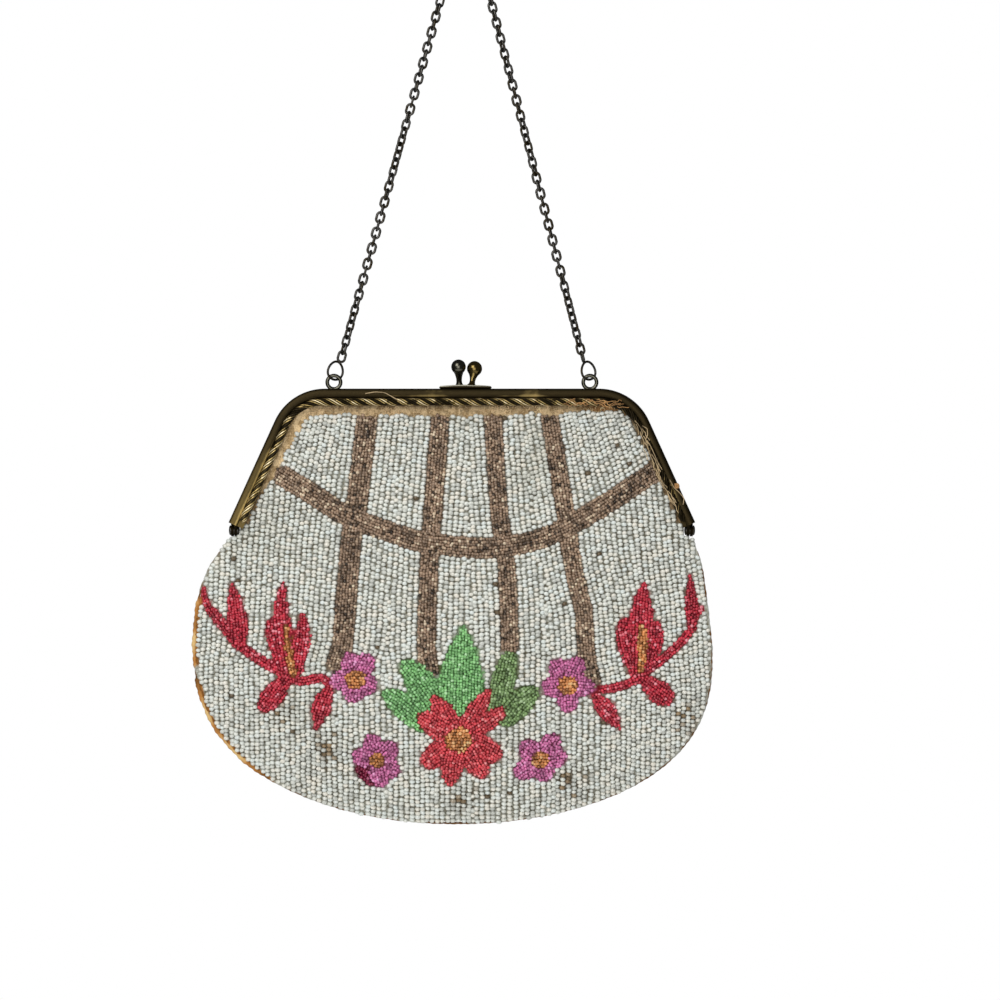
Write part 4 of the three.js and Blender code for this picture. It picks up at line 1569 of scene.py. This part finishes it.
# Operators

class HANDBAG_OT_stage(Operator):
    """Make the camera, the soft studio light and the pale floor"""
    bl_idname = "handbag.stage"
    bl_label = "Stage"

    def execute(self, context):
        scene = context.scene
        view = bpy.data.cameras.new("camera")
        view.lens = LENS
        view.sensor_width = SENSOR
        camera = bpy.data.objects.new("camera", view)
        camera.location = CAMERA_PLACE
        camera.rotation_euler = (math.pi / 2, 0, 0)
        scene.collection.objects.link(camera)
        scene.camera = camera
        scene.view_settings.view_transform = "Standard"
        for lamp in LAMPS:
            self.light(scene, lamp)
        self.sky(scene)
        self.floor(scene)
        return {"FINISHED"}

    def light(self, scene, lamp):
        made = bpy.data.lights.new(lamp.name, "AREA")
        made.size = lamp.size
        made.energy = lamp.power
        thing = bpy.data.objects.new(lamp.name, made)
        thing.location = lamp.place
        aim = Vector(LAMP_TARGET) - Vector(lamp.place)
        thing.rotation_euler = aim.to_track_quat("-Z", "Y").to_euler()
        thing.visible_glossy = lamp.mirrored
        scene.collection.objects.link(thing)

    def sky(self, scene):
        """White past the bag, a softer grey light on the bag, and a darker one in its reflections."""
        world = bpy.data.worlds.new("studio")
        world.use_nodes = True
        world.node_tree.nodes.clear()
        tree = Wire(world.node_tree)
        seen = tree.node("ShaderNodeLightPath", output=0)
        dim = 0.38 - tree.node("ShaderNodeLightPath", output=3) * 0.3
        soft = tree.node("ShaderNodeBackground", None, {"Color": (0.95, 0.97, 1.0, 1.0), "Strength": dim})
        plain = tree.node("ShaderNodeBackground", None, {"Color": (1.0, 1.0, 1.0, 1.0), "Strength": 1.0})
        both = tree.node("ShaderNodeMixShader", None, {0: seen, 1: soft, 2: plain})
        tree.node("ShaderNodeOutputWorld", None, {0: both})
        scene.world = world

    def floor(self, scene):
        """A flat disc: rings of points at growing distances round one middle."""
        reach = np.linspace(0.02, 0.6, 8)[:, None]
        turn = full_turn(64)
        points = points_of(reach * np.cos(turn), reach * np.sin(turn), -0.6)
        middle = list(range(len(turn)))[::-1]
        faces = [*grid_faces(len(reach), len(turn), False, True).tolist(), middle]
        mesh = bpy.data.meshes.new("floor")
        mesh.from_pydata(points.reshape(-1, 3).tolist(), [], faces)
        mesh.update()
        finish, tree, place = new_finish("pale_floor")
        shade = noise(tree, place, 9.0).ramp((0.3, (0.78, 0.78, 0.77)), (0.7, (0.84, 0.84, 0.83)))
        cover(tree, {"Base Color": shade, "Roughness": 0.7})
        mesh.materials.append(finish)
        floor = bpy.data.objects.new("floor", mesh)
        scene.collection.objects.link(floor)


class HANDBAG_OT_chain(Operator):
    """Make the chain's links and the two end rings"""
    bl_idname = "handbag.chain"
    bl_label = "Chain"

    def execute(self, context):
        steel = steel_finish("dark_steel", settings().finishes)
        make_piece("chain_links", [chain_part()], steel, ["chain"], crease=0)
        for name, hand in HANDS:
            node = "end_ring_" + name
            make_piece("wire_ring_" + name, [end_ring_part(hand)], steel, [node], crease=0)
        return {"FINISHED"}


class HANDBAG_OT_frame(Operator):
    """Make the two frame halves with their rope edging, the hinge rivets and the ball clasp"""
    bl_idname = "handbag.frame"
    bl_label = "Frame and clasp"

    def execute(self, context):
        values = settings().finishes
        grey = values.white_dull
        rail = brass_finish("rail_brass", values.tarnish, values.brass, -0.02, 0.26, 0.6)
        black = scaled(values.tarnish, 0.3)
        knobs = {
            "clasp_front": brass_finish("knob_brass", scaled(values.brass, 0.3), values.brass, -0.08, -0.04),
            "clasp_back": brass_finish("knob_steel", scaled(grey, 0.26), grey, -0.08, -0.04),
        }
        ear = brass_finish("ear_metal", black, scaled(values.brass, 0.4), -0.2, 0.3)
        # The strips' finish paints a pale highlight line where their tone is high
        edge = brass_finish("strip_brass", scaled(values.tarnish, 0.7), grey, -0.05, 0.3, 0.8, 0.5)
        rope = rope_finish(values)
        steel = steel_finish("rivet_steel", values)
        for name, side in FACES:
            node = "frame_" + name
            part, tone = rail_part(side)
            make_piece("rail_" + name, [part], rail, [node], tone=tone)
            make_piece("ears_" + name, [ear_part(side, -1), ear_part(side, 1)], ear, [node])
            part, tone = rope_part(side)
            make_piece("rope_edging_" + name, [part], rope, [node], tone=tone, crease=0)
        eyelets = [eyelet_part(-1), eyelet_part(1)]
        make_piece("eyelets", eyelets, knobs["clasp_back"], ["frame_front"], crease=0)
        for name, hand in HANDS:
            node = "hinge_rivet_" + name
            make_piece("rivet_" + name, [rivet_part(hand)], steel, [node])
        for node, shape in KNOBS.items():
            ball = node.replace("clasp", "ball_knob")
            make_piece(ball, [knob_part(shape)], knobs[node], [node])
            part, tone = strip_part(shape.side)
            strip = node.replace("clasp", "clasp_strip")
            make_piece(strip, [part], edge, [node], tone=tone)
        return {"FINISHED"}


class HANDBAG_OT_cloth(Operator):
    """Make the two panels of ground cloth, the seam's edge and the loose threads"""
    bl_idname = "handbag.cloth"
    bl_label = "Ground cloth"

    def execute(self, context):
        values = settings().finishes
        cloth = cloth_finish()
        lines = [drawn(stroke) for stroke in all_strokes()]
        shades = {"front": cloth_shades(chart_of(lines), lines), "back": cloth_shades()}
        for name, side in FACES:
            sheet = make_piece("ground_cloth_" + name, [cloth_part(side)], cloth,
                               ["bag_" + name], shade=shades[name], crease=60)
        part, tone = seam_part()
        seam = seam_finish(values)
        make_piece("seam_edge", [part], seam, ["side_seam"], tone=tone, crease=0)
        loose = thread_finish("loose_thread", scaled(values.cloth, 0.8))
        ends = [thread_part(spots) for spots in LOOSE_THREADS] + flank_threads(np.random.default_rng(SEED))
        make_piece("loose_threads", ends, loose, crease=0)
        mixed = np.array(values.thread) * 0.7 + np.array(values.cloth) * 0.25
        frayed = thread_finish("frayed_thread", mixed.tolist())
        ends = [*frayed_threads(np.random.default_rng(SEED)), thread_part(KNOT, 0.5)]
        make_piece("frayed_threads", ends, frayed, crease=0)
        fuzz = thread_finish("cloth_fuzz", scaled(values.cloth, 1.25))
        ends = fuzz_threads(np.random.default_rng(SEED))
        make_piece("fuzz_threads", ends, fuzz, crease=0)
        return {"FINISHED"}


class HANDBAG_OT_beads(Operator):
    """Make the beadwork of both panels, each colour a piece of its own"""
    bl_idname = "handbag.beads"
    bl_label = "Beadwork"

    def execute(self, context):
        random = np.random.default_rng(SEED)
        values = settings().finishes
        lines = [drawn(stroke) for stroke in all_strokes()]
        chart = chart_of(lines)
        white = white_finish(values)
        self.white_pieces("front", 1, WHITE_FORM, white_beads(chart, random), white, random)
        self.white_pieces("back", -1, PLAIN_FORM, back_beads(random), white, random)
        sizes = settings().beads
        for name, beads in coloured_beads(lines, chart, random).items():
            finish = glass_finish(name + "_glass", getattr(values, name), GLINTS[name])
            part = bead_part(beads, 1, CUT_FORM, mm(sizes.cut_radius), mm(sizes.cut_length), random)
            self.beadwork(name + "_beads", part, random.uniform(0, 1, len(beads.x)), finish)
        return {"FINISHED"}

    def beadwork(self, name, part, tone, finish):
        """One piece of beads, with a tone for each bead given to all its points."""
        each = len(part.points) // len(tone)
        make_piece(name, [part], finish, tone=np.repeat(tone, each), crease=0)

    def white_pieces(self, name, side, form, beads, finish, random):
        """The white beads of one panel in two pieces, left and right of its middle."""
        sizes = settings().beads
        for half, keep in (("left", beads.x < 0), ("right", beads.x >= 0)):
            group = chosen(beads, keep)
            part = bead_part(group, side, form, mm(sizes.white_radius), mm(sizes.white_length), random)
            clean, dull, kept = random.uniform(0, 1, (3, len(group.x)))
            tone = (0.2 + 0.8 * clean) * (1 - soiled(group.x, group.drop) * dull) * (kept > DARK_SHARE)
            self.beadwork(f"white_beads_{name}_{half}", part, tone, finish)


OPERATORS = (HANDBAG_OT_stage, HANDBAG_OT_chain, HANDBAG_OT_frame, HANDBAG_OT_cloth, HANDBAG_OT_beads)


class HANDBAG_PT_pieces(Panel):
    """Lists the steps that make the handbag"""
    bl_idname = "HANDBAG_PT_pieces"
    bl_label = "Beaded handbag"
    bl_space_type = "VIEW_3D"
    bl_region_type = "UI"
    bl_category = "Handbag"

    def draw(self, context):
        for step in OPERATORS:
            self.layout.operator(step.bl_idname)


GROUPS = (FrameSizes, PouchSizes, BeadSizes, ChainSizes, Finishes, HandbagSettings)


def register():
    for item in (*GROUPS, *OPERATORS, HANDBAG_PT_pieces):
        bpy.utils.register_class(item)
    bpy.types.Scene.handbag = PointerProperty(type=HandbagSettings)


def unregister():
    del bpy.types.Scene.handbag
    for item in (HANDBAG_PT_pieces, *reversed(OPERATORS), *reversed(GROUPS)):
        bpy.utils.unregister_class(item)


def main():
    register()
    bpy.ops.handbag.stage()
    bpy.ops.handbag.chain()
    bpy.ops.handbag.frame()
    bpy.ops.handbag.cloth()
    bpy.ops.handbag.beads()


if __name__ == "__main__":
    main()
